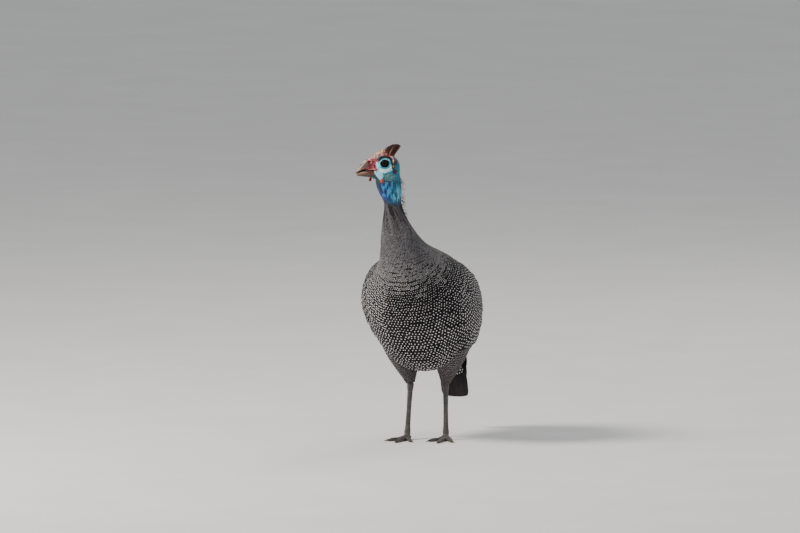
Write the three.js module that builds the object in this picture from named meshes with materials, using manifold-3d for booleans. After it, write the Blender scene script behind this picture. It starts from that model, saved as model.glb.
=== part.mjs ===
// A helmeted guinea fowl, standing alert with its head turned to its right: a still, life-size model.
// Millimetres, +Z up. The bird faces -Y, its left side is towards +X, and it stands on z = 0.
import * as THREE from "three";
import { mergeVertices } from "three/addons/utils/BufferGeometryUtils.js";
import Module from "manifold-3d";

const wasm = await Module();
wasm.setup();

const { sin, cos, sqrt, max, PI } = Math;
const gap = 0.3; // between nodes that meet
const radians = THREE.MathUtils.degToRad;
const vec = (x, y, z) => new THREE.Vector3(x, y, z);

// Materials
const finish = (color, roughness) =>
  new THREE.MeshStandardMaterial({ color, roughness, metalness: 0 });
const plumage = finish("#34333b", 0.75);
const blueSkin = finish("#2f7fa0", 0.55);
const redSkin = finish("#9c2b33", 0.55);
const horn = finish("#a08468", 0.4);
const casqueHorn = finish("#4a2a1c", 0.5);
const eyeGloss = finish("#160f0c", 0.1);
const legScale = finish("#4a4238", 0.6);
const clawHorn = finish("#2c2520", 0.4);

// Solids

// A closed solid from its vertices and triangles, turned to face out.
function closedSolid(vertices, triangles) {
  const points = new Float32Array(vertices.flatMap((p) => [p.x, p.y, p.z]));
  let turned = 0;
  for (const [a, b, c] of triangles)
    turned += vertices[a].dot(vertices[b].clone().cross(vertices[c]));
  const order = turned < 0 ? triangles.map(([a, b, c]) => [a, c, b]) : triangles;
  const geometry = new THREE.BufferGeometry()
    .setAttribute("position", new THREE.BufferAttribute(points, 3))
    .setIndex(order.flat());
  return solidFrom(geometry);
}

function solidFrom(geometry) {
  geometry.deleteAttribute("normal");
  geometry.deleteAttribute("uv");
  const merged = mergeVertices(geometry, 1e-4);
  return new wasm.Manifold(
    new wasm.Mesh({
      numProp: 3,
      vertProperties: new Float32Array(merged.attributes.position.array),
      triVerts: new Uint32Array(merged.index.array),
    }),
  );
}

// A solid wrapped round a row of rings, each a list of as many points, with a fan closing each end.
function loft(rings) {
  const around = rings[0].length;
  const vertices = rings.flat();
  const triangles = [];
  for (let i = 0; i + 1 < rings.length; i++)
    for (let j = 0; j < around; j++) {
      const a = i * around + j;
      const b = i * around + ((j + 1) % around);
      triangles.push([a, b, b + around], [a, b + around, a + around]);
    }
  for (const end of [0, rings.length - 1]) {
    const middle = rings[end]
      .reduce((sum, p) => sum.add(p), vec(0, 0, 0))
      .divideScalar(around);
    vertices.push(middle);
    for (let j = 0; j < around; j++) {
      const edge = [end * around + j, end * around + ((j + 1) % around)];
      if (end === 0) edge.reverse();
      triangles.push([...edge, vertices.length - 1]);
    }
  }
  return closedSolid(vertices, triangles);
}

// A plate between two like grids of points, split alike on both faces.
function plate(upper, lower) {
  const rows = upper.length;
  const columns = upper[0].length;
  const at = (r, c) => r * columns + c;
  const below = rows * columns;
  const triangles = [];
  for (let r = 0; r + 1 < rows; r++)
    for (let c = 0; c + 1 < columns; c++) {
      const [a, b, d, e] = [at(r, c), at(r, c + 1), at(r + 1, c), at(r + 1, c + 1)];
      triangles.push([a, e, b], [a, d, e]);
      triangles.push([a + below, b + below, e + below], [a + below, e + below, d + below]);
    }
  const wall = (a, b) => triangles.push([a, b, b + below], [a, b + below, a + below]);
  for (let c = 0; c + 1 < columns; c++) {
    wall(at(0, c), at(0, c + 1));
    wall(at(rows - 1, c + 1), at(rows - 1, c));
  }
  for (let r = 0; r + 1 < rows; r++) {
    wall(at(r + 1, 0), at(r, 0));
    wall(at(r, columns - 1), at(r + 1, columns - 1));
  }
  return closedSolid([...upper.flat(), ...lower.flat()], triangles);
}

// An ellipse of points about a centre, spanned by two half axes.
function ring(centre, half, otherHalf, around) {
  return Array.from({ length: around }, (_, j) => {
    const turn = (2 * PI * j) / around;
    return centre
      .clone()
      .addScaledVector(half, cos(turn))
      .addScaledVector(otherHalf, sin(turn));
  });
}

const ball = (centre, radii, around) =>
  solidFrom(
    new THREE.SphereGeometry(1, around, Math.round(around * 0.6))
      .scale(radii.x, radii.y, radii.z)
      .translate(centre.x, centre.y, centre.z),
  );

const joined = (solids) => solids.reduce((all, one) => all.add(one));

const root = new THREE.Group();

// The largest closed surface of a solid, as a named mesh.
function node(name, solid, material) {
  const largest = solid.decompose().sort((a, b) => b.volume() - a.volume())[0];
  const { vertProperties, triVerts } = largest.getMesh();
  const geometry = new THREE.BufferGeometry()
    .setAttribute("position", new THREE.BufferAttribute(vertProperties, 3))
    .setIndex(new THREE.BufferAttribute(triVerts, 1));
  geometry.computeVertexNormals();
  const mesh = new THREE.Mesh(geometry, material);
  mesh.name = name;
  root.add(mesh);
}

// Neck and torso: one form of rings from the jaw to the tail

// Each ring has its centre, its turn to the bird's right and its tilt towards the tail in degrees,
// its half depth from back to breast and its half width.
const stations = [
  { name: "jaw", x: -25, y: -116.5, z: 438, turn: 58, tilt: 0, depth: 20.5, width: 11.5 },
  { name: "upperNeck", x: -21.7, y: -114.7, z: 412, turn: 58, tilt: 0, depth: 19.2, width: 12.5 },
  { name: "slimNeck", x: -17.5, y: -111.6, z: 390, turn: 45, tilt: 0, depth: 13.9, width: 12.6 },
  { name: "hackle", x: -14.7, y: -108.2, z: 365, turn: 20, tilt: 3, depth: 18.9, width: 19 },
  { name: "neckBase", x: -11, y: -100.4, z: 339, turn: 5, tilt: 8, depth: 30.4, width: 27.5 },
  { name: "collar", x: -4.7, y: -94.2, z: 315, turn: 0, tilt: 17, depth: 43.5, width: 36.4 },
  { name: "crop", x: 0, y: -82, z: 291, turn: 0, tilt: 26, depth: 59, width: 49.4 },
  { name: "shoulder", x: 0, y: -64.6, z: 268, turn: 0, tilt: 32, depth: 73, width: 72.5 },
  { name: "breast", x: 0, y: -33, z: 238, turn: 0, tilt: 37, depth: 87, width: 88 },
  { name: "back", x: 0, y: 7, z: 206, turn: 0, tilt: 43, depth: 96, width: 85 },
  { name: "belly", x: 0, y: 41, z: 179, turn: 0, tilt: 47, depth: 88, width: 74.5 },
  { name: "flank", x: 0, y: 81, z: 162, turn: 0, tilt: 46, depth: 60, width: 54.5 },
  { name: "rump", x: 0, y: 115, z: 156, turn: 0, tilt: 38, depth: 32, width: 37 },
  { name: "tailBase", x: 0, y: 133, z: 153, turn: 0, tilt: 18, depth: 16, width: 23 },
];
const lastStation = stations.length - 1;
const ringStep = 0.5;
const bodyAround = 28;
const groove = { depth: 3.5, spread: 15, from: 5.6, to: 9.8 }; // down the middle of the breast
const neckCut = 4.8;
const skinEdge = 2.4; // where bare skin gives way to feathers
const cutStep = 0.02; // this much of a station is the gap between lengths

const smooth = (t) => {
  const c = THREE.MathUtils.clamp(t, 0, 1);
  return c * c * (3 - 2 * c);
};

// A value of the stations at any place along them, on a Catmull-Rom curve.
function along(key, s) {
  const i = Math.min(Math.floor(s), lastStation - 1);
  const t = s - i;
  const value = (k) => stations[THREE.MathUtils.clamp(k, 0, lastStation)][key];
  const [a, b, c, d] = [value(i - 1), value(i), value(i + 1), value(i + 2)];
  return (
    b + 0.5 * t * (c - a + t * (2 * a - 5 * b + 4 * c - d + t * (3 * (b - c) + d - a)))
  );
}

// A point of the body's surface: angle 0 on the back, 90 on the left side, 180 on the breast.
function bareSurface(s, angle) {
  const turn = radians(along("turn", s));
  const tilt = radians(along("tilt", s));
  const ventral = vec(-sin(turn) * cos(tilt), -cos(turn) * cos(tilt), -sin(tilt));
  const left = vec(cos(turn), -sin(turn), 0);
  const inGroove = smooth((s - groove.from) / 1.5) * smooth((groove.to - s) / 1.5);
  const dip = groove.depth * inGroove * Math.exp(-(((angle - 180) / groove.spread) ** 2));
  const a = radians(angle);
  return vec(along("x", s), along("y", s), along("z", s))
    .addScaledVector(left, along("width", s) * sin(a))
    .addScaledVector(ventral, -(along("depth", s) - dip) * cos(a));
}

// The surface with its own directions at a place: towards the tail, round to the left, and out.
function surface(s, angle) {
  const point = bareSurface(s, angle);
  const step = s > lastStation - 0.02 ? -0.01 : 0.01;
  const tailward = bareSurface(s + step, angle).sub(point).divideScalar(step);
  const round = bareSurface(s, angle + 0.5).sub(point).divideScalar(0.5);
  const out = round.clone().cross(tailward).normalize();
  return { point, tailward, round, out };
}

function bodyPoint(s, angle, height = 0) {
  const { point, out } = surface(s, angle);
  return point.addScaledVector(out, height);
}

// The body between two stations, with its surface moved out by a height.
function bodySolid(from, to, height = 0) {
  const places = [from];
  for (let k = Math.ceil(from / ringStep + 0.3); k * ringStep < to - 0.1; k++)
    places.push(k * ringStep);
  places.push(to);
  return loft(
    places.map((s) =>
      Array.from({ length: bodyAround }, (_, j) =>
        bodyPoint(s, (360 * j) / bodyAround, height),
      ),
    ),
  );
}

// Head, in its own directions: x to the bill's tip, y to its left, z up, from between the eyes

const headPlace = vec(-31, -120.5, 453);
const headTurn = -(90 + 58);
const headMatrix = new THREE.Matrix4()
  .makeRotationZ(radians(headTurn))
  .setPosition(headPlace);
const placed = (solid) => solid.transform(headMatrix.elements);
const swollen = (solid, by) => {
  const box = solid.boundingBox();
  const size = [0, 1, 2].map((k) => box.max[k] - box.min[k]);
  const middle = [0, 1, 2].map((k) => (box.max[k] + box.min[k]) / 2);
  return solid
    .translate(middle.map((m) => -m))
    .scale(size.map((d) => 1 + (2 * by) / d))
    .translate(middle);
};

// Rings across the head's own x, each from a top, a bottom and a half width.
const acrossHead = (rows, around) =>
  loft(
    rows.map(([x, top, bottom, width]) =>
      ring(
        vec(x, 0, (top + bottom) / 2),
        vec(0, 0, (top - bottom) / 2),
        vec(0, width, 0),
        around,
      ),
    ),
  );

const skullRows = [
  [-27, 0, -15, 4],
  [-25, 4, -19, 7.5],
  [-19.5, 11, -23, 11],
  [-12, 14.2, -26, 12.8],
  [-4, 15, -27.5, 13.2],
  [4, 14.6, -27, 12.8],
  [11, 13.2, -25, 11.2],
  [18, 11, -22, 9.3],
  [24, 9, -19.8, 7.9],
  [30, 6, -17.4, 6.6],
];
const browRows = [
  [27, 7.6, 0, 3.6],
  [22, 10.4, 1, 4.2],
  [17, 13.1, 3, 4.6],
  [12, 16.2, 4, 4.9],
  [7, 19.3, 6, 5.1],
  [2, 21.6, 8, 5.3],
  [-4, 22.4, 9, 5.2],
  [-8, 17, 9, 4],
];

// Bill: it meets the skin on a slanting edge, and the upper one hooks down over the lower.
const bill = { x: 14, top: 10.4, tipX: 44.6, tipZ: -14.6, lowerX: 42.4, lowerZ: -17.4 };
const mouth = { gape: 13.5, level: -10.6, fall: 4.4, groove: 2.6, height: 0.5 };
const billEdge = { normal: vec(0.961, 0, -0.277), offset: 24.3 };
const mouthHeight = (x) =>
  mouth.level - mouth.fall * smooth((x - mouth.gape) / (bill.tipX - mouth.gape));
const beyondEdge = (solid) =>
  solid.trimByPlane(billEdge.normal.toArray(), billEdge.offset + gap);

function upperBill() {
  const rows = [0, 0.28, 0.42, 0.56, 0.7, 0.83, 0.94, 1].map((t) => {
    const x = THREE.MathUtils.lerp(bill.x, bill.tipX, t);
    const bottom = mouthHeight(x) - 1.6 * t ** 6;
    const top = THREE.MathUtils.lerp(bill.top, bill.tipZ + 2.4, t ** 2.4);
    return [x, top, bottom, 8 * (1 - t ** 2.6) ** 0.6 + 0.6];
  });
  return beyondEdge(acrossHead(rows, 14));
}

function lowerBill() {
  const rows = [0, 0.3, 0.5, 0.7, 0.88, 1].map((t) => {
    const x = THREE.MathUtils.lerp(bill.x, bill.lowerX, t);
    const top = mouthHeight(x) - 1.6 * ((x - bill.x) / (bill.tipX - bill.x)) ** 6 - gap - 0.1;
    const bottom = THREE.MathUtils.lerp(-21.6, bill.lowerZ - 0.9, t ** 1.3);
    return [x, top, bottom, 7 * (1 - t ** 2.8) ** 0.6 + 0.5];
  });
  return beyondEdge(acrossHead(rows, 12));
}

// The casque: a narrow horny crest that leans back, each row a height, two ends and a half width.
const casqueRows = [
  [9, 4, -17, 4.8],
  [14, 2.2, -19.6, 4.7],
  [18, 0, -22.4, 4.3],
  [22, -2.6, -25.8, 3.8],
  [26, -6.2, -28.8, 3.3],
  [29, -11.5, -28.6, 2.6],
  [30.6, -16.5, -25, 1.3],
];
const casqueSolid = () =>
  loft(
    casqueRows.map(([z, front, rear, width]) =>
      ring(
        vec((front + rear) / 2, 0, z),
        vec((front - rear) / 2, 0, 0),
        vec(0, width, 0),
        16,
      ),
    ),
  );

// A wattle: a flap of skin that hangs from the corner of the mouth and ends in a bulb.
const wattle = {
  left: { root: vec(12.4, 10.2, -8.5), tip: vec(4, 15.4, -28.4), width: 4.6 },
  right: { root: vec(12.4, -10.2, -8.5), tip: vec(18.5, -13.2, -28.5), width: 3.4 },
};
function wattleSolid(name, swell = 0) {
  const { root: top, tip, width } = wattle[name];
  const fall = tip.clone().sub(top);
  const more = swell / fall.length();
  const out = vec(0, 1, 0).projectOnPlane(fall.clone().normalize()).normalize();
  const across = fall.clone().cross(out).normalize();
  const rows = [
    // share of the way down, half width and half thickness, as shares of the width
    [0, 1, 0.2],
    [0.16, 1.15, 0.24],
    [0.36, 1, 0.26],
    [0.58, 0.72, 0.3],
    [0.74, 0.6, 0.42],
    [0.87, 0.74, 0.62],
    [0.96, 0.6, 0.5],
    [1, 0.28, 0.24],
  ];
  return loft(
    rows.map(([t, wide, thick]) =>
      ring(
        top.clone().addScaledVector(fall, t * (1 + 2 * more) - more),
        across.clone().multiplyScalar(width * wide + swell),
        out.clone().multiplyScalar(width * thick + swell),
        10,
      ),
    ),
  );
}

// Eyes: a ball set deep behind an upper and a lower lid, inside a swollen rim.
const eye = { y: 7.3, z: 1.6, radius: 7, lid: 8.1, openLong: 6.5, openHigh: 5.5, rim: 8, rimThick: 1.5 };
const eyeball = (side, swell = 0) => {
  const r = eye.radius + swell;
  return ball(vec(0, side * eye.y, eye.z), vec(r, r, r), 14);
};
function lids(side) {
  const shell = ball(vec(0, side * eye.y, eye.z), vec(eye.lid, eye.lid, eye.lid), 12);
  const opening = ball(
    vec(0, side * (eye.y + eye.lid), eye.z),
    vec(eye.openLong, 6, eye.openHigh),
    12,
  );
  return shell.subtract(opening);
}
const eyeRim = (side) =>
  solidFrom(
    new THREE.TorusGeometry(eye.rim, eye.rimThick, 4, 14)
      .scale(1.05, 0.95, 1)
      .rotateX(PI / 2)
      .translate(0, side * 11.2, eye.z - 0.6),
  );

// Folds and bulbs of the face, on the left side: each ball is a place and three half sizes.
const faceBalls = [
  { place: vec(1.5, 8.6, -15), size: vec(12.5, 5.4, 8.4) }, // cheek
  { place: vec(14, 8.6, -9), size: vec(4.6, 3.4, 5.2) }, // corner of the mouth
  { place: vec(-12, 12, -2.6), size: vec(1.8, 1.5, 2.1) }, // knobs behind the eye
  { place: vec(-15.5, 10.2, 5.4), size: vec(2, 1.7, 2.2) },
  { place: vec(-18, 9.6, 1.6), size: vec(1.9, 1.8, 2) },
  { place: vec(-13, 9, 10), size: vec(2.2, 1.8, 2) },
];
const nostril = { place: vec(22.6, 7.4, 4), size: vec(2.3, 2.4, 1.5), fold: 3.5, foldThick: 1.2 };
const ear = { place: vec(-16, 12.2, -10.5), size: vec(1.9, 2.6, 2.3) };
const mirrored = (v, side) => vec(v.x, v.y * side, v.z);
const nostrilFold = (side) =>
  solidFrom(
    new THREE.TorusGeometry(nostril.fold, nostril.foldThick, 4, 8)
      .scale(1, 0.8, 1)
      .rotateX(PI / 2)
      .rotateZ(side * 0.28)
      .translate(nostril.place.x, side * (nostril.place.y - 1.1), nostril.place.z),
  );

// The line of the mouth is carried back from the bill into the skin as a groove.
function mouthGroove(side) {
  const places = [mouth.gape, 17, 21, 26, 31];
  const inner = (x) => THREE.MathUtils.lerp(10.4, 6.6, (x - mouth.gape) / 17.5) - mouth.groove;
  const grid = (lift) =>
    places.map((x) => [
      vec(x, side * inner(x), mouthHeight(x) + lift),
      vec(x, side * 14, mouthHeight(x) + lift),
    ]);
  return plate(grid(mouth.height / 2), grid(-mouth.height / 2));
}

const sides = [
  ["left", 1],
  ["right", -1],
];
const bills = { upper: upperBill(), lower: lowerBill() };
const crest = casqueSolid();

function headSolid() {
  let solid = acrossHead(skullRows, 20).add(acrossHead(browRows, 10));
  for (const [, side] of sides) {
    solid = solid.add(lids(side)).add(eyeRim(side)).add(nostrilFold(side));
    for (const { place, size } of faceBalls)
      solid = solid.add(ball(mirrored(place, side), size, size.x > 4 ? 9 : 6));
  }
  solid = solid.trimByPlane(billEdge.normal.clone().negate().toArray(), -billEdge.offset);
  for (const [, side] of sides) {
    solid = solid
      .subtract(mouthGroove(side))
      .subtract(ball(mirrored(nostril.place, side), nostril.size, 8))
      .subtract(ball(mirrored(ear.place, side), ear.size, 8));
  }
  return solid.subtract(swollen(crest, gap));
}

// Head and bare neck are made whole, then parted by a thin cut below the jaw.
const jawCut = { normal: vec(0.44, 0, 0.9).normalize(), x: -6, z: -25.5 };
const jawNormal = jawCut.normal.clone().transformDirection(headMatrix);
const jawOffset = vec(jawCut.x, 0, jawCut.z).applyMatrix4(headMatrix).dot(jawNormal);
let whole = placed(headSolid()).add(bodySolid(0, skinEdge));
for (const [name, side] of sides)
  whole = whole
    .subtract(placed(eyeball(side, gap)))
    .subtract(placed(wattleSolid(name, gap * 1.5)));
const headWhole = whole.trimByPlane(jawNormal.toArray(), jawOffset + gap);
const bareNeck = whole.trimByPlane(jawNormal.clone().negate().toArray(), -jawOffset);

node("head", headWhole, blueSkin);
node("neck_upper", bareNeck, blueSkin);
node("neck_lower", bodySolid(skinEdge + cutStep, neckCut), plumage);
node("torso", bodySolid(neckCut + cutStep, lastStation), plumage);
node("casque", placed(crest), casqueHorn);
node("bill_upper", placed(bills.upper), horn);
node("bill_lower", placed(bills.lower), horn);
for (const [name, side] of sides) {
  node("eye_" + name, placed(eyeball(side)), eyeGloss);
  node("wattle_" + name, placed(wattleSolid(name)), redSkin);
}

// Wings

// A folded wing lies on the body from the shoulder back: u runs to its tip and v from its upper edge down.
const wing = { from: 6.9, to: 12.8, top: 2, edge: 1.1, sunk: 2.5 };
function wingPlace(u, v, room = 0) {
  const s = wing.from + (wing.to - wing.from) * (u + room * 0.02 * (2 * u - 1));
  const middle = THREE.MathUtils.lerp(84, 66, u) + 6 * sin(PI * u);
  const front = sqrt(max(0, 1 - (1 - Math.min(1, u / 0.3)) ** 2));
  const half = 36 * (0.35 + 0.65 * front) * (1 - 0.62 * u ** 2.6) + room * 4;
  return { s, angle: middle + half * (2 * v - 1) };
}
const bodyRoom = bodySolid(neckCut, lastStation, gap + 0.1);
const flightRoom = 6.7; // the height over the body that the feathers of a wing take up

// The wing's base as one smooth slab; with room, it is the space that the whole wing needs.
function wingSlab(side, room = 0) {
  const rows = Array.from({ length: 10 }, (_, i) => i / 9);
  const columns = Array.from({ length: 5 }, (_, i) => i / 4);
  const grid = (height) =>
    rows.map((u) =>
      columns.map((v) => {
        const { s, angle } = wingPlace(u, v, room);
        return bodyPoint(s, side * angle, height(u, v));
      }),
    );
  const crown = (u, v) => {
    const low = wing.edge + (wing.top - wing.edge) * sqrt(max(0, 1 - (2 * v - 1) ** 4));
    return THREE.MathUtils.lerp(low, flightRoom, room);
  };
  return plate(
    grid(crown),
    grid(() => -wing.sunk),
  );
}

const vane = { thick: 0.65, tipThick: 0.5, root: 1.2, roll: 0.7 };
const vaneRows = [
  // share of the length and of the width
  [0, 0.6],
  [0.64, 1],
  [1, 0.42],
];

// A vane over the body from one place to another. Its lower edge is lifted over the next vane's upper edge.
function bodyVane(side, from, to, half, rise) {
  const place = (t) => [
    THREE.MathUtils.lerp(from.s, to.s, t),
    side * THREE.MathUtils.lerp(from.angle, to.angle, t),
  ];
  const faces = [1, -1].map((face) =>
    vaneRows.map(([t, wide]) => {
      const { point, round, out } = surface(...place(t));
      const along = bareSurface(...place(t + 0.02)).sub(point).normalize();
      const across = round.multiplyScalar(side).projectOnPlane(along).normalize();
      const thick = THREE.MathUtils.lerp(vane.thick, vane.tipThick, t) * face * 0.5;
      const height = THREE.MathUtils.lerp(vane.root, rise, t) + thick;
      return [-1, 1].map((edge) =>
        point
          .clone()
          .addScaledVector(across, edge * half * wide)
          .addScaledVector(out, height + edge * vane.roll * smooth(t / 0.3)),
      );
    }),
  );
  return plate(...faces);
}

// Feathers in tiers from the primaries forward: roots and tips along u, spread over v.
const tiers = [
  { name: "primaries", count: 5, root: 0.58, tip: 0.99, top: 0.4, low: 0.92, half: 6.4, rise: 1.7, step: 0.75 },
  { name: "secondaries", count: 6, root: 0.45, tip: 0.85, top: 0.11, low: 0.89, half: 9.4, rise: 5.2, step: 0 },
  { name: "greater", count: 6, root: 0.3, tip: 0.6, top: 0.1, low: 0.9, half: 10, rise: 5.2, step: 0 },
  { name: "median", count: 5, root: 0.18, tip: 0.41, top: 0.12, low: 0.88, half: 11, rise: 5.2, step: 0 },
  { name: "lesser", count: 4, root: 0.08, tip: 0.27, top: 0.16, low: 0.84, half: 12, rise: 5, step: 0 },
  { name: "shoulder", count: 3, root: 0.02, tip: 0.155, top: 0.24, low: 0.76, half: 12, rise: 4.2, step: 0 },
];

function wingSolid(side) {
  const pieces = [wingSlab(side)];
  for (const [row, tier] of tiers.entries())
    for (let i = 0; i < tier.count; i++) {
      const v = THREE.MathUtils.lerp(tier.top, tier.low, i / (tier.count - 1));
      const uneven = 0.008 * sin(7 * i + 3 * row);
      const from = wingPlace(tier.root, v);
      const to = wingPlace(tier.tip + uneven, v + 0.02);
      pieces.push(bodyVane(side, from, to, tier.half, tier.rise + tier.step * i));
    }
  return joined(pieces).subtract(bodyRoom);
}
for (const [name, side] of sides) node("wing_" + name, wingSolid(side), plumage);

// Tail: it hangs from the rump as a narrow roof of feathers over a short core

const tail = { length: 106, fall: 73, width: 23.5, depth: 15.5 };
const tailRoot = vec(0, along("y", lastStation), along("z", lastStation));
const tailFall = vec(0, cos(radians(tail.fall)), -sin(radians(tail.fall)));
const tailBack = vec(0, sin(radians(tail.fall)), cos(radians(tail.fall)));
// A place of the tail: across to the left, down to the tip, and lifted out of its plane.
const tailPlace = (across, down, lift) =>
  vec(across, 0, 0).add(tailRoot).addScaledVector(tailFall, down).addScaledVector(tailBack, lift);

function tailCore() {
  const rows = [
    [gap + 0.1, 0.98, 0.97],
    [12, 0.84, 0.98],
    [28, 0.5, 0.86],
    [44, 0.24, 0.7],
    [56, 0.08, 0.5],
  ];
  return loft(
    rows.map(([down, thick, wide]) =>
      ring(
        tailPlace(0, down, 0),
        tailBack.clone().multiplyScalar(tail.depth * thick),
        vec(tail.width * wide, 0, 0),
        18,
      ),
    ),
  );
}

// A straight vane of the tail; its outer edge lies lower by the slope.
function tailVane(root, tip, half, slope) {
  const faces = [1, -1].map((face) =>
    vaneRows.map(([t, wide]) => {
      const thick = THREE.MathUtils.lerp(vane.thick, vane.tipThick, t) * face * 0.5;
      const [across, down, lift] = root.map((value, k) => THREE.MathUtils.lerp(value, tip[k], t));
      return [-1, 1].map((edge) =>
        tailPlace(across + edge * half * wide, down, lift + thick - edge * slope),
      );
    }),
  );
  return plate(...faces);
}

// Each tier: how many, root and tip down the tail, spread at the root and tip, lifts, half width and roll.
// A middle feather lies on the others, which are rolled so that each covers the next one out.
const tailTiers = [
  { count: 9, root: 14, tip: tail.length, near: 2.9, far: 4.1, high: 1, low: 1, half: 6.6, roll: 1.75 },
  { count: 7, root: 6, tip: 60, near: 3.8, far: 4.8, high: 11, low: 5.4, half: 6, roll: 1.2 },
  { count: 5, root: 6, tip: 52, near: 4.4, far: 5.4, high: -11, low: -5, half: 6, roll: -1.2 },
];

function tailSolid() {
  const pieces = [tailCore()];
  for (const tier of tailTiers)
    for (let i = 0; i < tier.count; i++) {
      const k = i - (tier.count - 1) / 2;
      const arch = (x) => sqrt(1 - (x / 25) ** 2);
      const lifted = k === 0 ? tier.roll * 0.9 : 0;
      const ends = [
        [k * tier.near, tier.root, tier.high * arch(k * tier.near) + lifted],
        [k * tier.far, tier.tip - 0.3 * k * k, tier.low * arch(k * tier.far) + lifted],
      ];
      pieces.push(tailVane(...ends, tier.half, -Math.sign(k) * tier.roll));
    }
  return joined(pieces).subtract(bodyRoom);
}
node("tail", tailSolid(), plumage);

// Legs

const leg = {
  hip: vec(43, 8, 170),
  hock: vec(27, 17, 91),
  ankle: vec(30, 9, 9),
};
const stride = { left: 7, right: -7 }; // how far each foot stands behind the middle

// A limb of elliptical rings along a path; each row is its share of the way, half depth and half width.
function limb(start, end, rows, around) {
  const way = end.clone().sub(start);
  const left = vec(1, 0, 0);
  const fore = left.clone().cross(way).normalize();
  const across = way.clone().cross(fore).normalize();
  return loft(
    rows.map(([t, depth, width]) =>
      ring(
        start.clone().addScaledVector(way, t),
        fore.clone().multiplyScalar(depth),
        across.clone().multiplyScalar(width),
        around,
      ),
    ),
  );
}

const toes = [
  // turn outwards in degrees, length, thickness at the root
  { name: "inner", turn: -26, length: 36, root: 4.2 },
  { name: "middle", turn: 3, length: 48, root: 4.6 },
  { name: "outer", turn: 33, length: 38, root: 4.2 },
  { name: "hind", turn: 172, length: 13, root: 3.4 },
];
const toeTip = 0.62; // thickness at the claw, of the root's
const clawLength = 10;

function toeDirection(side, toe) {
  const turn = radians(side * toe.turn);
  return vec(sin(turn), -cos(turn), 0);
}

function toeSolid(side, ankle, toe) {
  const fore = toeDirection(side, toe);
  const level = (t) => toe.root * THREE.MathUtils.lerp(1, toeTip, t);
  const across = vec(-fore.y, fore.x, 0);
  return loft(
    [0, 0.22, 0.42, 0.55, 0.75, 0.86, 1].map((t, i) => {
      const pad = i % 2 ? 1.1 : 0.94;
      const half = level(t) * pad;
      return ring(
        vec(ankle.x, ankle.y, half - 0.9).addScaledVector(fore, toe.length * t),
        vec(0, 0, half),
        across.clone().multiplyScalar(half * 0.95),
        8,
      );
    }),
  );
}

function clawSolid(side, ankle, toe) {
  const fore = toeDirection(side, toe);
  const across = vec(-fore.y, fore.x, 0);
  const thick = toe.root * toeTip * 0.72;
  return loft(
    [0, 0.35, 0.7, 1].map((t) => {
      const half = thick * (1 - 0.8 * t);
      return ring(
        vec(ankle.x, ankle.y, thick + 0.5 - 1.6 * t * t + half * 0.35 * t)
          .addScaledVector(fore, toe.length + gap + 0.1 + clawLength * t),
        vec(0, 0, half),
        across.clone().multiplyScalar(half * 0.75),
        6,
      );
    }),
  );
}

// A raised scute: a small plate bent over the front of a limb, its lower edge lifted over the next.
function scute(centre, down, fore, half, length, stand) {
  const across = down.clone().cross(fore).normalize();
  const grid = (inner) =>
    [0, 1].map((t) =>
      [-1, 0, 1].map((edge) =>
        centre
          .clone()
          .addScaledVector(down, (t - 0.5) * length * (edge === 0 ? 1 : 0.8))
          .addScaledVector(across, edge * half)
          .addScaledVector(fore, (edge === 0 ? 0 : -0.55 * half) + (inner ? -1.6 : stand * (0.35 + 0.65 * t))),
      ),
    );
  return plate(grid(false), grid(true));
}

const shankScutes = 8;
const toeScutes = { inner: 3, middle: 4, outer: 3, hind: 0 };

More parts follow.
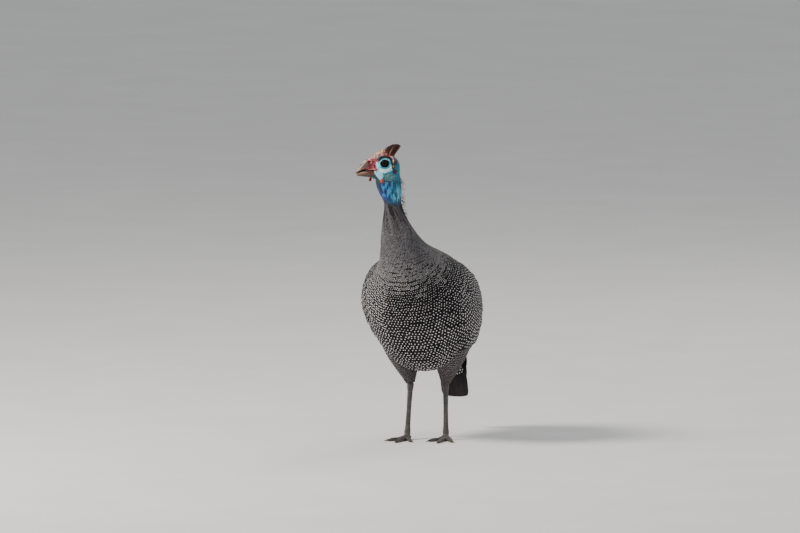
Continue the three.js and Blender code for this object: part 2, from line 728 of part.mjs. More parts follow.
const floorSlab = solidFrom(
  new THREE.BoxGeometry(400, 400, 20).translate(0, 0, -10),
);
for (const [name, side] of sides) {
  const shift = vec(0, stride[name], 0);
  const at = (place) => vec(place.x * side, place.y, place.z).add(shift);
  const hip = vec(leg.hip.x * side, leg.hip.y, leg.hip.z);
  const hock = at(leg.hock);
  const ankle = at(leg.ankle);
  const thighRows = [
    [0, 46, 32],
    [0.2, 43, 30.5],
    [0.45, 33, 25],
    [0.68, 21, 17.5],
    [0.86, 12.5, 11],
    [0.96, 8.6, 8],
    [0.995, 6.6, 6.2],
  ];
  const thigh = limb(hip, hock, thighRows, 18)
    .subtract(bodyRoom)
    .subtract(wingSlab(side, 1))
    .trimByPlane([0, 0, 1], hock.z + gap / 2);
  node("thigh_" + name, thigh, plumage);
  const shankRows = [
    [0, 5.8, 5.2],
    [0.06, 6.4, 5.6],
    [0.16, 5, 4.3],
    [0.5, 4.2, 3.7],
    [0.84, 4.6, 4.1],
    [0.96, 5.6, 5.2],
    [1, 5.2, 5],
  ];
  const way = ankle.clone().sub(hock);
  const down = way.clone().normalize();
  const fore = vec(0, -1, 0).projectOnPlane(down).normalize();
  const shankPieces = [limb(hock, ankle, shankRows, 12)];
  for (let i = 0; i < shankScutes; i++) {
    const t = THREE.MathUtils.lerp(0.09, 0.91, i / (shankScutes - 1));
    const bulge = 4.3 + 7 * (t - 0.5) ** 2;
    const centre = hock.clone().addScaledVector(way, t).addScaledVector(fore, bulge);
    shankPieces.push(scute(centre, down, fore, 2.8, 7.6, 0.7));
  }
  const shank = joined(shankPieces).trimByPlane([0, 0, -1], -(hock.z - gap / 2));
  const pad = ball(vec(ankle.x, ankle.y - 2, 4.4), vec(7, 8.5, 5.2), 9);
  const footPieces = [pad];
  for (const toe of toes) {
    footPieces.push(toeSolid(side, ankle, toe));
    const ahead = toeDirection(side, toe);
    for (let i = 0; i < toeScutes[toe.name]; i++) {
      const t = THREE.MathUtils.lerp(0.32, 0.86, i / (toeScutes[toe.name] - 1));
      const half = toe.root * THREE.MathUtils.lerp(1, toeTip, t);
      const centre = vec(ankle.x, ankle.y, 2 * half - 0.9).addScaledVector(ahead, toe.length * t);
      footPieces.push(scute(centre, ahead, vec(0, 0, 1), half * 0.7, 6.4, 0.5));
    }
  }
  const footWhole = joined(footPieces)
    .subtract(floorSlab)
    .subtract(limb(hock, ankle, shankRows.map(([t, d, w]) => [t * 1.01, d + gap, w + gap]), 12));
  node("shank_" + name, shank, legScale);
  node("foot_" + name, footWhole, legScale);
  for (const toe of toes)
    node("claw_" + toe.name + "_" + name, clawSolid(side, ankle, toe), clawHorn);
}

// The origin is moved to the middle of the base of the whole bird's box.
const box = new THREE.Box3().setFromObject(root);
const middle = box.getCenter(vec(0, 0, 0));
root.position.set(-middle.x, -middle.y, -box.min.z);

export default root;
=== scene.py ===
import math
import random

import bmesh
import bpy
import numpy as np
from mathutils import Matrix, Vector, noise
from mathutils.geometry import delaunay_2d_cdt


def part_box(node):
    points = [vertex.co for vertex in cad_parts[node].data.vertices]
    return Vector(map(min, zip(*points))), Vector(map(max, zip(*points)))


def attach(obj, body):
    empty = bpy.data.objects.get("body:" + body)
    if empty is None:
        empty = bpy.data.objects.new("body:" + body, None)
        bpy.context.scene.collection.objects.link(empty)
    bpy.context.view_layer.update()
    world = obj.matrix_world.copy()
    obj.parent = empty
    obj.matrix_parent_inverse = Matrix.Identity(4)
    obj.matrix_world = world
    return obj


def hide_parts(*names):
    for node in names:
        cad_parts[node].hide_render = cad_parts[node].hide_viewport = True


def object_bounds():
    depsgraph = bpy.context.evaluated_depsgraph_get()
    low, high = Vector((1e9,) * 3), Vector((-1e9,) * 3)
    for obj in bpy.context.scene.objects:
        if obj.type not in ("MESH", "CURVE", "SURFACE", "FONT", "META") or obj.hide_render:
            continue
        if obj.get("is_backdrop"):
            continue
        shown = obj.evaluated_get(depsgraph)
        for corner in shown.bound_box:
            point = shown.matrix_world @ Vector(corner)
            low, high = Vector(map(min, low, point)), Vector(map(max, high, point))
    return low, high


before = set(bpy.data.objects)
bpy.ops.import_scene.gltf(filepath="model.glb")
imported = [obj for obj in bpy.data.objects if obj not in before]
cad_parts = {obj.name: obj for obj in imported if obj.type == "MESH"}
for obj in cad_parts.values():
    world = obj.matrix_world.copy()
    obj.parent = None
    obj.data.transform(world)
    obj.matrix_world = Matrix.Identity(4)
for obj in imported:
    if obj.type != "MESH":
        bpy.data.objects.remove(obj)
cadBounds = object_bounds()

print("guinea fowl: frame loaded")

# the form that skin and feathers share, in millimetres as in the solids

# centre x, y, z, turn to the bird's right, tilt, half depth, half width
stationRows = np.array([
    (-25, -116.5, 438, 58, 0, 20.5, 11.5),
    (-21.7, -114.7, 412, 58, 0, 19.2, 12.5),
    (-17.5, -111.6, 390, 45, 0, 13.9, 12.6),
    (-14.7, -108.2, 365, 20, 3, 18.9, 19),
    (-11, -100.4, 339, 5, 8, 30.4, 27.5),
    (-4.7, -94.2, 315, 0, 17, 43.5, 36.4),
    (0, -82, 291, 0, 26, 59, 49.4),
    (0, -64.6, 268, 0, 32, 73, 72.5),
    (0, -33, 238, 0, 37, 87, 88),
    (0, 7, 206, 0, 43, 96, 85),
    (0, 41, 179, 0, 47, 88, 74.5),
    (0, 81, 162, 0, 46, 60, 54.5),
    (0, 115, 156, 0, 38, 32, 37),
    (0, 133, 153, 0, 18, 16, 23),
    (0, 143, 120, 0, 17, 9, 19),
], dtype=float)
lastStation = len(stationRows) - 1
grooveForm = dict(depth=3.5, spread=15.0, start=5.6, end=9.8)
headForm = dict(x=-31.0, y=-120.5, z=453.0, turn=58.0)
eyeForm = dict(y=7.3, z=1.6, radius=7.0, proud=0.6, bulge=0.045, dark=6.3)
tailForm = dict(fall=73.0, y=133.0, z=153.0, thick=15.5, wide=23.5, step=25.0)
wingForm = dict(  # stations, then angles round the body, then shares
    start=6.9, end=12.8, middle=84, middleEnd=66, arch=6, half=36,
    blunt=0.35, rounding=0.3, taper=0.62, taperPower=2.6)
xAxis, yAxis, zAxis = np.eye(3)


def smoothStep(t):
    t = np.clip(t, 0.0, 1.0)
    return t * t * (3 - 2 * t)


def smoothCurve(rows, i, t, last):
    # the value at share t of the way from row i to the next, on a smooth curve through all rows
    a, b, c, d = (rows[np.clip(i + k, 0, last)] for k in (-1, 0, 1, 2))
    return b + 0.5 * t * (c - a + t * (2 * a - 5 * b + 4 * c - d + t * (3 * (b - c) + d - a)))


def alongStations(s):
    s = np.asarray(s, dtype=float)
    i = np.clip(np.floor(s).astype(int), 0, lastStation - 1)
    return smoothCurve(stationRows, i, (s - i)[..., None], lastStation)


def bareSurface(s, angle):
    # a place of the body: angle 0 is its back, 90 its left, 180 its front
    row = alongStations(s)
    turn, tilt, a = np.radians(row[..., 3]), np.radians(row[..., 4]), np.radians(angle)
    ventral = np.stack([-np.sin(turn) * np.cos(tilt), -np.cos(turn) * np.cos(tilt), -np.sin(tilt)], -1)
    left = np.stack([np.cos(turn), -np.sin(turn), 0 * turn], -1)
    g = grooveForm
    inGroove = smoothStep((s - g["start"]) / 1.5) * smoothStep((g["end"] - s) / 1.5)
    dip = g["depth"] * inGroove * np.exp(-(((np.mod(angle, 360) - 180) / g["spread"]) ** 2))
    side = (row[..., 6] * np.sin(a))[..., None]
    deep = ((row[..., 5] - dip) * np.cos(a))[..., None]
    return row[..., :3] + left * side - ventral * deep


def unit(v):
    return v / (np.linalg.norm(v, axis=-1, keepdims=True) + 1e-12)


def surfaceFrame(s, angle, surface=bareSurface):
    # a place, its steps along and around, and the way out
    s, angle = np.broadcast_arrays(np.asarray(s, float), np.asarray(angle, float))
    point = surface(s, angle)
    tailward = (surface(s + 0.01, angle) - surface(s - 0.01, angle)) / 0.02
    around = surface(s, angle + 0.5) - surface(s, angle - 0.5)
    out = unit(np.cross(around, tailward))
    return point, tailward, around, out


# the solids' origin is found from the middle of the left eye
headTurn = math.radians(-(90 + headForm["turn"]))
headSpin = np.array([
    [math.cos(headTurn), -math.sin(headTurn), 0],
    [math.sin(headTurn), math.cos(headTurn), 0],
    [0, 0, 1]])
headPlace = np.array([headForm["x"], headForm["y"], headForm["z"]])


def fromHead(points):
    return np.asarray(points, float) @ headSpin.T + headPlace


eyeLow, eyeHigh = (np.array(corner) * 1000 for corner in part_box("eye_left"))
shift = (eyeLow + eyeHigh) / 2 - fromHead((0, eyeForm["y"], eyeForm["z"]))


def toScene(points):
    return (np.asarray(points, float) + shift) / 1000


def headToScene(points):
    return toScene(fromHead(points))


def toHead(points):
    return (np.asarray(points, float) * 1000 - shift - headPlace) @ headSpin


# camera, light and floor

cameraForm = dict(turn=18.0, rise=6.0, distance=30.0, far=120.0, sensor=36.0, pixelsWide=800,
                  mmPerPixel=1.587, middleX=-39.5, middleZ=276.9, nearer=85.0)
lightForm = [
    # name, turn, rise, distance, size, power, colour
    ("keyLight", -50, 42, 3.0, 0.9, 122, (1.0, 0.965, 0.91)),
    ("fillLight", 70, 22, 3.2, 2.4, 16, (0.9, 0.95, 1.0)),
    ("rimLight", 165, 40, 3.0, 1.6, 22, (1.0, 0.97, 0.92)),
]
worldForm = dict(colour=(0.78, 0.8, 0.83, 1), strength=0.65)
floorForm = dict(size=30.0, rough=0.85, grain=6.0, dark=(0.70, 0.69, 0.67), pale=(0.74, 0.73, 0.71))


def directionFrom(turn, rise):
    a, e = math.radians(turn), math.radians(rise)
    return Vector((math.sin(a) * math.cos(e), -math.cos(a) * math.cos(e), math.sin(e)))


def makeCamera(form):
    back = directionFrom(form["turn"], form["rise"])
    a = math.radians(form["turn"])
    right = Vector((math.cos(a), math.sin(a), 0))
    up = back.cross(right)
    base = Vector(shift / 1000)
    target = base + right * form["middleX"] / 1000 + up * form["middleZ"] / 1000
    target += back * form["nearer"] / 1000
    data = bpy.data.cameras.new("camera")
    data.sensor_width = form["sensor"]
    data.lens = form["sensor"] * form["distance"] / (form["mmPerPixel"] * form["pixelsWide"] / 1000)
    data.clip_end = form["far"]
    camera = bpy.data.objects.new("camera", data)
    bpy.context.collection.objects.link(camera)
    camera.matrix_world = Matrix.Translation(target + back * form["distance"]) @ (
        Matrix((right, up, back)).transposed().to_4x4())
    bpy.context.scene.camera = camera
    return target


def makeLight(name, turn, rise, distance, size, power, colour, target):
    data = bpy.data.lights.new(name, "AREA")
    data.shape = "DISK"
    data.size = size
    data.energy = power
    data.color = colour
    lamp = bpy.data.objects.new(name, data)
    bpy.context.collection.objects.link(lamp)
    back = directionFrom(turn, rise)
    lamp.matrix_world = Matrix.Translation(target + back * distance) @ (
        back.to_track_quat("Z", "Y").to_matrix().to_4x4())


def makeWorld(form):
    world = bpy.data.worlds.new("studio")
    world.use_nodes = True
    background = world.node_tree.nodes["Background"].inputs
    background["Color"].default_value = form["colour"]
    background["Strength"].default_value = form["strength"]
    bpy.context.scene.world = world


target = makeCamera(cameraForm)
for row in lightForm:
    makeLight(*row, target=target)
makeWorld(worldForm)


# helpers for meshes and materials

def newObject(name, mesh):
    piece = bpy.data.objects.new(name, mesh)
    bpy.context.collection.objects.link(piece)
    return piece


def finishPiece(piece, material, slot, *replaced):
    piece.data.materials.append(material)
    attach(piece, "root")
    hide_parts(*replaced)


def fromBmesh(name, bm, smooth=True):
    mesh = bpy.data.meshes.new(name)
    for face in bm.faces:
        face.smooth = smooth
    bm.to_mesh(mesh)
    bm.free()
    return newObject(name, mesh)


def placeVerts(verts, places):
    for vert, place in zip(verts, places):
        vert.co = place


def degreesRound(count):
    return np.linspace(0, 360, count, endpoint=False)


def ellipseRing(centre, first, firstHalf, second, secondHalf, count):
    # points round a centre that start from the first direction
    turn = np.linspace(0, 2 * np.pi, count, endpoint=False)
    return (centre + first * (firstHalf * np.cos(turn))[:, None]
            + second * (secondHalf * np.sin(turn))[:, None])


def addRings(bm, rings):
    # closed rings of points, joined one to the next and capped
    before = None
    for number, ring in enumerate(rings):
        circle = bmesh.ops.create_circle(bm, segments=len(ring), radius=1.0)["verts"]
        placeVerts(circle, ring)
        edges = list({edge for vert in circle for edge in vert.link_edges})
        if before:
            bmesh.ops.bridge_loops(bm, edges=before + edges)
        if number in (0, len(rings) - 1):
            bmesh.ops.contextual_create(bm, geom=edges)
        before = edges


def unitBall(bm, around, rows):
    # the verts of a ball and their places about its middle
    verts = bmesh.ops.create_uvsphere(bm, u_segments=around, v_segments=rows, radius=1.0)["verts"]
    return verts, np.array([vert.co[:] for vert in verts])


def outwards(bm):
    bmesh.ops.recalc_face_normals(bm, faces=bm.faces)


def applied(piece):
    # the piece's mesh with its modifiers worked in
    graph = bpy.context.evaluated_depsgraph_get()
    mesh = bpy.data.meshes.new_from_object(piece.evaluated_get(graph))
    old = piece.data
    piece.modifiers.clear()
    piece.data = mesh
    mesh.name = piece.name
    bpy.data.meshes.remove(old)
    return piece


def joinPieces(name, pieces):
    main = pieces[0]
    if len(pieces) > 1:
        with bpy.context.temp_override(active_object=main, selected_editable_objects=pieces):
            bpy.ops.object.join()
    main.name = name
    main.data.name = name
    main.data.materials.clear()
    return main


def remeshed(piece, voxel, smoothing):
    change = piece.modifiers.new("whole", "REMESH")
    change.mode = "VOXEL"
    change.voxel_size = voxel
    change.use_smooth_shade = True
    ease = piece.modifiers.new("ease", "SMOOTH")
    ease.factor = 0.5
    ease.iterations = smoothing
    return applied(piece)


def subdivided(piece, levels):
    change = piece.modifiers.new("finer", "SUBSURF")
    change.levels = levels
    change.render_levels = levels
    return applied(piece)


def getPoints(mesh):
    points = np.empty(len(mesh.vertices) * 3, np.float32)
    mesh.vertices.foreach_get("co", points)
    return points.reshape(-1, 3).astype(float)


def setPoints(mesh, points):
    mesh.vertices.foreach_set("co", np.asarray(points, np.float32).ravel())
    mesh.update()


def getNormals(mesh):
    normals = np.empty(len(mesh.vertices) * 3, np.float32)
    mesh.vertex_normals.foreach_get("vector", normals)
    return normals.reshape(-1, 3).astype(float)


def pushOut(mesh, p, amount):
    # moves a mesh, whose places in the head are p, along its normals
    setPoints(mesh, headToScene(p + (getNormals(mesh) @ headSpin) * amount[:, None]))


def addAttribute(mesh, name, values, kind="FLOAT", domain="POINT"):
    layer = mesh.attributes.new(name, kind, domain)
    values = np.asarray(values, np.float32)
    if kind == "FLOAT_COLOR":
        values = np.concatenate([values, np.ones((len(values), 1), np.float32)], 1)
        layer.data.foreach_set("color", values.ravel())
    else:
        layer.data.foreach_set("value", values.ravel())


def roughNoise(points, scale, seed=0.0):
    offset = Vector((seed, 3.7 * seed, -1.9 * seed))
    return np.array([noise.noise(Vector(p) * scale + offset) for p in points])


class Nodes:
    # a small hand for wiring a material's nodes
    def __init__(self, tree):
        self.tree = tree

    def add(self, kind, settings=None, **inputs):
        node = self.tree.nodes.new(kind)
        for key, value in (settings or {}).items():
            setattr(node, key, value)
        for key, value in inputs.items():
            self.put(node, key.replace("_", " "), value)
        return node

    def place(self):
        return self.add("ShaderNodeTexCoord").outputs["Object"]

    def put(self, node, socket, value):
        # a socket is given by its name, or by i and its number
        target = node.inputs[int(socket[1:]) if socket[:1] == "i" and socket[1:].isdigit() else socket]
        if isinstance(value, bpy.types.NodeSocket):
            self.tree.links.new(value, target)
        else:
            target.default_value = value

    def attribute(self, name, output="Fac"):
        return self.add("ShaderNodeAttribute", dict(attribute_name=name)).outputs[output]

    def math(self, how, a, b=0.0):
        return self.add("ShaderNodeMath", dict(operation=how), i0=a, i1=b).outputs[0]

    def mix(self, share, a, b, blend="MIX"):
        settings = dict(data_type="RGBA", blend_type=blend)
        return self.add("ShaderNodeMix", settings, i0=share, i6=a, i7=b).outputs[2]

    def ramp(self, value, stops):
        node = self.add("ShaderNodeValToRGB", i0=value)
        while len(node.color_ramp.elements) < len(stops):
            node.color_ramp.elements.new(0.5)
        for element, (place, colour) in zip(node.color_ramp.elements, stops):
            element.position = place
            element.color = (*colour, 1)
        return node.outputs["Color"]

    def noise(self, place, scale, detail=3.0, rough=0.55):
        return self.add("ShaderNodeTexNoise", Vector=place, Scale=scale, Detail=detail, Roughness=rough)

    def range(self, value, low, high, newLow=0.0, newHigh=1.0):
        node = self.add("ShaderNodeMapRange", i0=value, i1=low, i2=high, i3=newLow, i4=newHigh)
        return node.outputs[0]


def newMaterial(name, rough, specular=0.5, coat=0.0, coatRough=0.2):
    material = bpy.data.materials.new(name)
    material.use_nodes = True
    tree = material.node_tree
    shader = tree.nodes["Principled BSDF"]
    shader.inputs["Roughness"].default_value = rough
    shader.inputs["Specular IOR Level"].default_value = specular
    shader.inputs["Coat Weight"].default_value = coat
    shader.inputs["Coat Roughness"].default_value = coatRough
    return material, Nodes(tree), shader


def mottleGroup():
    # fine uneven tone for skin, horn and scutes: a value about 1 and a height
    group = bpy.data.node_groups.new("mottle", "ShaderNodeTree")
    for name, usual in (("Fine", 900), ("Broad", 160), ("Depth", 0.25)):
        socket = group.interface.new_socket(name, in_out="INPUT", socket_type="NodeSocketFloat")
        socket.default_value = usual
    for name in ("Tone", "Height"):
        group.interface.new_socket(name, in_out="OUTPUT", socket_type="NodeSocketFloat")
    n = Nodes(group)
    given = n.add("NodeGroupInput").outputs
    place = n.place()
    fine = n.noise(place, given["Fine"], 4).outputs["Fac"]
    broad = n.noise(place, given["Broad"], 2).outputs["Fac"]
    both = n.math("ADD", n.math("MULTIPLY", fine, 0.5), n.math("MULTIPLY", broad, 0.5))
    swing = n.math("MULTIPLY", n.math("SUBTRACT", both, 0.5), given["Depth"])
    result = n.add("NodeGroupOutput")
    n.put(result, "Tone", n.math("ADD", n.math("MULTIPLY", swing, 4.0), 1.0))
    n.put(result, "Height", both)
    return group


mottle = mottleGroup()


def addMottle(n, fine, broad, depth):
    node = n.add("ShaderNodeGroup", dict(node_tree=mottle), Fine=fine, Broad=broad, Depth=depth)
    return node.outputs["Tone"], node.outputs["Height"]


def addBump(n, shader, height, strength, distance):
    bump = n.add("ShaderNodeBump", Height=height, Strength=strength, Distance=distance)
    n.put(shader, "Normal", bump.outputs["Normal"])


def toned(n, colour, tone):
    # a colour times a tone
    grey = n.add("ShaderNodeCombineColor", Red=tone, Green=tone, Blue=tone).outputs[0]
    return n.mix(1.0, colour, grey, "MULTIPLY")


# floor

def makeFloor(form):
    bm = bmesh.new()
    bmesh.ops.create_grid(bm, x_segments=1, y_segments=1, size=form["size"])
    floor = fromBmesh("floor", bm, smooth=False)
    material, n, shader = newMaterial("paleFloor", form["rough"], specular=0.2)
    place = n.place()
    n.put(shader, "Base Color", n.ramp(n.noise(place, form["grain"]).outputs["Fac"], [
        (0.3, form["dark"]), (0.7, form["pale"])]))
    floor.data.materials.append(material)
    floor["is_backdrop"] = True


makeFloor(floorForm)
print("guinea fowl: camera, light and floor")

# bare skin of the head and neck

skinForm = dict(bodyPaint=(0.018, 0.017, 0.02), feltDepth=2.6, faceVoxel=0.00047, bodyVoxel=0.0024,
                neckEnd=3.2, around=48, bodyStart=2.6, bodyEnd=13.0, bodyAround=72, step=0.2)

skullRows = [  # x, top, bottom, half width
    (-27, 0, -15, 4), (-25, 4, -19, 7.5), (-19.5, 11, -23, 11), (-12, 14.2, -26, 12.8),
    (-4, 15, -27.5, 13.2), (4, 14.6, -27, 12.8), (11, 13.2, -25, 11.2), (18, 11, -22, 9.3),
    (24, 9, -19.8, 7.9), (29.2, 6.2, -17.6, 6.7)]
browRows = [
    (27, 7.6, 0, 3.6), (22, 10.4, 1, 4.2), (17, 13.1, 3, 4.6), (12, 16.2, 4, 4.9),
    (7, 19.3, 6, 5.1), (2, 21.6, 8, 5.3), (-4, 22.4, 9, 5.2), (-8, 17, 9, 4)]
faceBalls = [  # place and half sizes, on both sides
    ((1.5, 8.6, -15), (12.5, 5.4, 8.4)), ((14, 8.4, -8.5), (5, 3.4, 5.4)),
    ((-12, 12, -2.6), (1.8, 1.6, 2.1)), ((-15.5, 10.2, 5.4), (2, 1.8, 2.2)),
    ((-18, 9.6, 1.6), (1.9, 1.9, 2)), ((-13, 9, 10), (2.4, 1.9, 2.1)),
    ((-16.4, 11, -4.6), (1.6, 1.5, 1.8)), ((0, 8.2, 1.6), (8.8, 6.4, 8.2))]
lidForm = dict(long=6.35, high=5.5, uneven=0.25, rim=1.16, crease=1.42, swell=1.72)
mouthForm = dict(gape=13.5, level=-11.6, fall=2.2, arch=3.9, tipX=44.6)
nostrilX, nostrilZ = 22.6, 4


def mouthHeight(x):
    m = mouthForm
    t = np.clip((np.asarray(x, float) - m["gape"]) / (m["tipX"] - m["gape"]), 0, 1)
    return m["level"] - m["fall"] * t + m["arch"] * np.sin(np.pi * t) ** 0.8


def acrossRing(x, top, bottom, width, around):
    middle = (x, 0, (top + bottom) / 2)
    return ellipseRing(middle, zAxis, (top - bottom) / 2, yAxis, width, around)


def addHeadRows(bm, rows, around):
    addRings(bm, [headToScene(acrossRing(*row, around)) for row in rows])


def finerRows(rows, steps=3):
    # rows of a form with more between them
    rows = np.array(rows, float)
    last = len(rows) - 1
    return [smoothCurve(rows, i, k / steps, last) for i in range(last) for k in range(steps)] + [rows[-1]]


def addBall(bm, place, size, side=1.0):
    verts, local = unitBall(bm, 20, 12)
    placeVerts(verts, headToScene(local * np.array(size) + np.array(place) * np.array((1, side, 1))))


def makeFaceSkin():
    bm = bmesh.new()
    addHeadRows(bm, finerRows(skullRows), 40)
    addHeadRows(bm, finerRows(browRows), 24)
    for place, size in faceBalls:
        for side in (1, -1):
            addBall(bm, place, size, side)
    turns = degreesRound(skinForm["around"])
    rings = []
    for s in np.arange(0, skinForm["neckEnd"] + 0.01, skinForm["step"]):
        point, _, _, out = surfaceFrame(np.full(len(turns), s), turns)
        sunk = skinForm["feltDepth"] * smoothStep((s - 2.1) / 0.6)
        rings.append(toScene(point - out * sunk))
    addRings(bm, rings)
    outwards(bm)
    return remeshed(fromBmesh("skin", bm), skinForm["faceVoxel"], 6)


def folds(points, direction, gapWidth, seed, wander=0.5):
    # uneven parallel folds that cross a direction
    along = points @ np.array(direction)
    drift = roughNoise(points, 0.13, seed) * gapWidth * 2.2 * wander
    return np.sin(2 * np.pi * (along + drift) / gapWidth)


def bell(value, width):
    return np.exp(-((value / width) ** 2))


def sculptFace(mesh):
    p = toHead(getPoints(mesh))
    x, y, z = p.T
    side = np.abs(y)
    hz = z - eyeForm["z"]
    outSide = smoothStep((side - 5.5) / 2.5)
    onHead = smoothStep((z + 34) / 8)
    lid = lidForm
    e = np.sqrt((x / lid["long"]) ** 2 + (hz / (lid["high"] - lid["uneven"] * np.sign(hz))) ** 2)
    push = np.zeros(len(p))
    # lids: a rim, a crease round it and a soft swelling outside
    push += outSide * (1.15 * bell(e - lid["rim"], 0.13) - 0.5 * bell(e - lid["crease"], 0.1)
                       + 0.5 * bell(e - lid["swell"], 0.2))
    push += outSide * 0.12 * bell(e - 1.5, 0.5) * np.sin(np.arctan2(hz, x) * 26 + 2 * roughNoise(p, 0.2, 4))
    # red folds round the nostril, over the gape and up the brow
    front = smoothStep((x - 8.5) / 5) * smoothStep((28.4 - x) / 2) * onHead * smoothStep((z + 19) / 4)
    aroundNostril = np.hypot(x - nostrilX, z - nostrilZ)
    push += front * smoothStep((aroundNostril - 4) / 2) * 0.42 * folds(p, (0.75, 0, -0.66), 3.1, 2)
    push += outSide * 0.9 * bell(aroundNostril - 3.6, 1.1) * smoothStep((x - 16) / 3)
    corner = bell(np.hypot(x - 15, (z + 9.5) * 0.8), 6.5) * outSide
    push += corner * 0.5 * folds(p, (0.35, 0, 0.94), 2.5, 5)
    crown = smoothStep((z - 10.5) / 4) * smoothStep((x + 22) / 4)
    push += crown * (0.4 * roughNoise(p, 0.42, 7) + 0.25 * folds(p, (0.9, 0, 0.3), 2.7, 9))
    # small pebbles over the cheek and behind the eye
    behind = smoothStep((-7 - x) / 4) * onHead
    push += behind * 0.34 * roughNoise(p, 0.55, 11)
    cheek = bell(np.hypot((x - 2) / 13, (z + 15) / 9), 1.0) * outSide
    push += cheek * 0.16 * roughNoise(p, 0.6, 13)
    # neck: fine rings on the nape, long soft folds down the sides and throat
    neck = smoothStep((-24 - z) / 8)
    nape = smoothStep((-(x + 9) - 4) / 10)
    push += neck * nape * 0.2 * folds(p, (0.12, 0, 1), 2.3, 15, 0.35)
    stretched = p * np.array((1, 1, 0.16))
    push += neck * 0.75 * roughNoise(stretched, 0.34, 17)
    push += neck * 0.22 * roughNoise(p, 0.7, 19)
    moved = p + (getNormals(mesh) @ headSpin) * push[:, None]
    # the mouth's line, nostrils and ears are sunk
    mouth = bell(z - mouthHeight(x), 0.55) * smoothStep((x - mouthForm["gape"]) / 2) * outSide
    pit = bell(np.hypot((x - nostrilX) / 2.0, (z - nostrilZ) / 1.35), 0.85) * smoothStep((side - 2.5) / 2)
    ear = bell(np.hypot((x + 16) / 1.9, (z + 10.5) / 2.3), 0.8) * outSide
    for depth, sunk in ((1.5, mouth), (3.0, pit), (2.4, ear)):
        moved[:, 1] -= np.sign(y) * depth * sunk
    # inside the lids the skin drops behind the eyeball
    inside = smoothStep((1.02 - e) / 0.1) * outSide
    deep = eyeForm["y"] + np.sqrt(np.clip(eyeForm["radius"] ** 2 - x ** 2 - hz ** 2, 0, None)) - 2.2
    moved[:, 1] = np.where(inside > 0, np.sign(y) * (side * (1 - inside) + inside * np.minimum(side, deep)),
                           moved[:, 1])
    setPoints(mesh, headToScene(moved))
    return p, e


class Paint:
    # colours laid one over another through masks
    def __init__(self, count, ground):
        self.colour = np.tile(np.array(ground, float), (count, 1))

    def lay(self, mask, tint):
        mask = np.clip(mask, 0, 1)[:, None]
        self.colour = self.colour * (1 - mask) + np.array(tint) * mask

    def store(self, mesh):
        addAttribute(mesh, "paint", self.colour, "FLOAT_COLOR")


skinTints = dict(
    teal=(0.004, 0.135, 0.20), cobalt=(0.002, 0.022, 0.20), navy=(0.003, 0.008, 0.045),
    sky=(0.035, 0.33, 0.62), streak=(0.12, 0.52, 0.60), turquoise=(0.02, 0.34, 0.42),
    white=(0.78, 0.90, 0.92), cyan=(0.27, 0.68, 0.80), sage=(0.07, 0.19, 0.185),
    crimson=(0.22, 0.008, 0.018), pink=(0.46, 0.12, 0.12), blood=(0.055, 0.003, 0.007),
    rose=(0.66, 0.36, 0.33), cream=(0.70, 0.44, 0.24), maroon=(0.045, 0.006, 0.014),
    orange=(0.34, 0.055, 0.022), black=(0.003, 0.003, 0.008), bruise=(0.014, 0.003, 0.009),
    chin=(0.014, 0.045, 0.050), chinSpeck=(0.10, 0.19, 0.17), jawSpeck=(0.22, 0.40, 0.38),
    throat=(0.004, 0.014, 0.035), ridge=(0.50, 0.20, 0.09), crown=(0.16, 0.035, 0.022),
    brow=(0.002, 0.002, 0.008), earEdge=(0.25, 0.2, 0.3))


def lineBell(x, z, places, width):
    # nearness to a line through places of the head's side
    near = np.full(len(x), 1e9)
    for (ax, az), (bx, bz) in zip(places, places[1:]):
        dx, dz = bx - ax, bz - az
        t = np.clip(((x - ax) * dx + (z - az) * dz) / (dx * dx + dz * dz), 0, 1)
        near = np.minimum(near, np.hypot(x - ax - t * dx, z - az - t * dz))
    return bell(near, width)


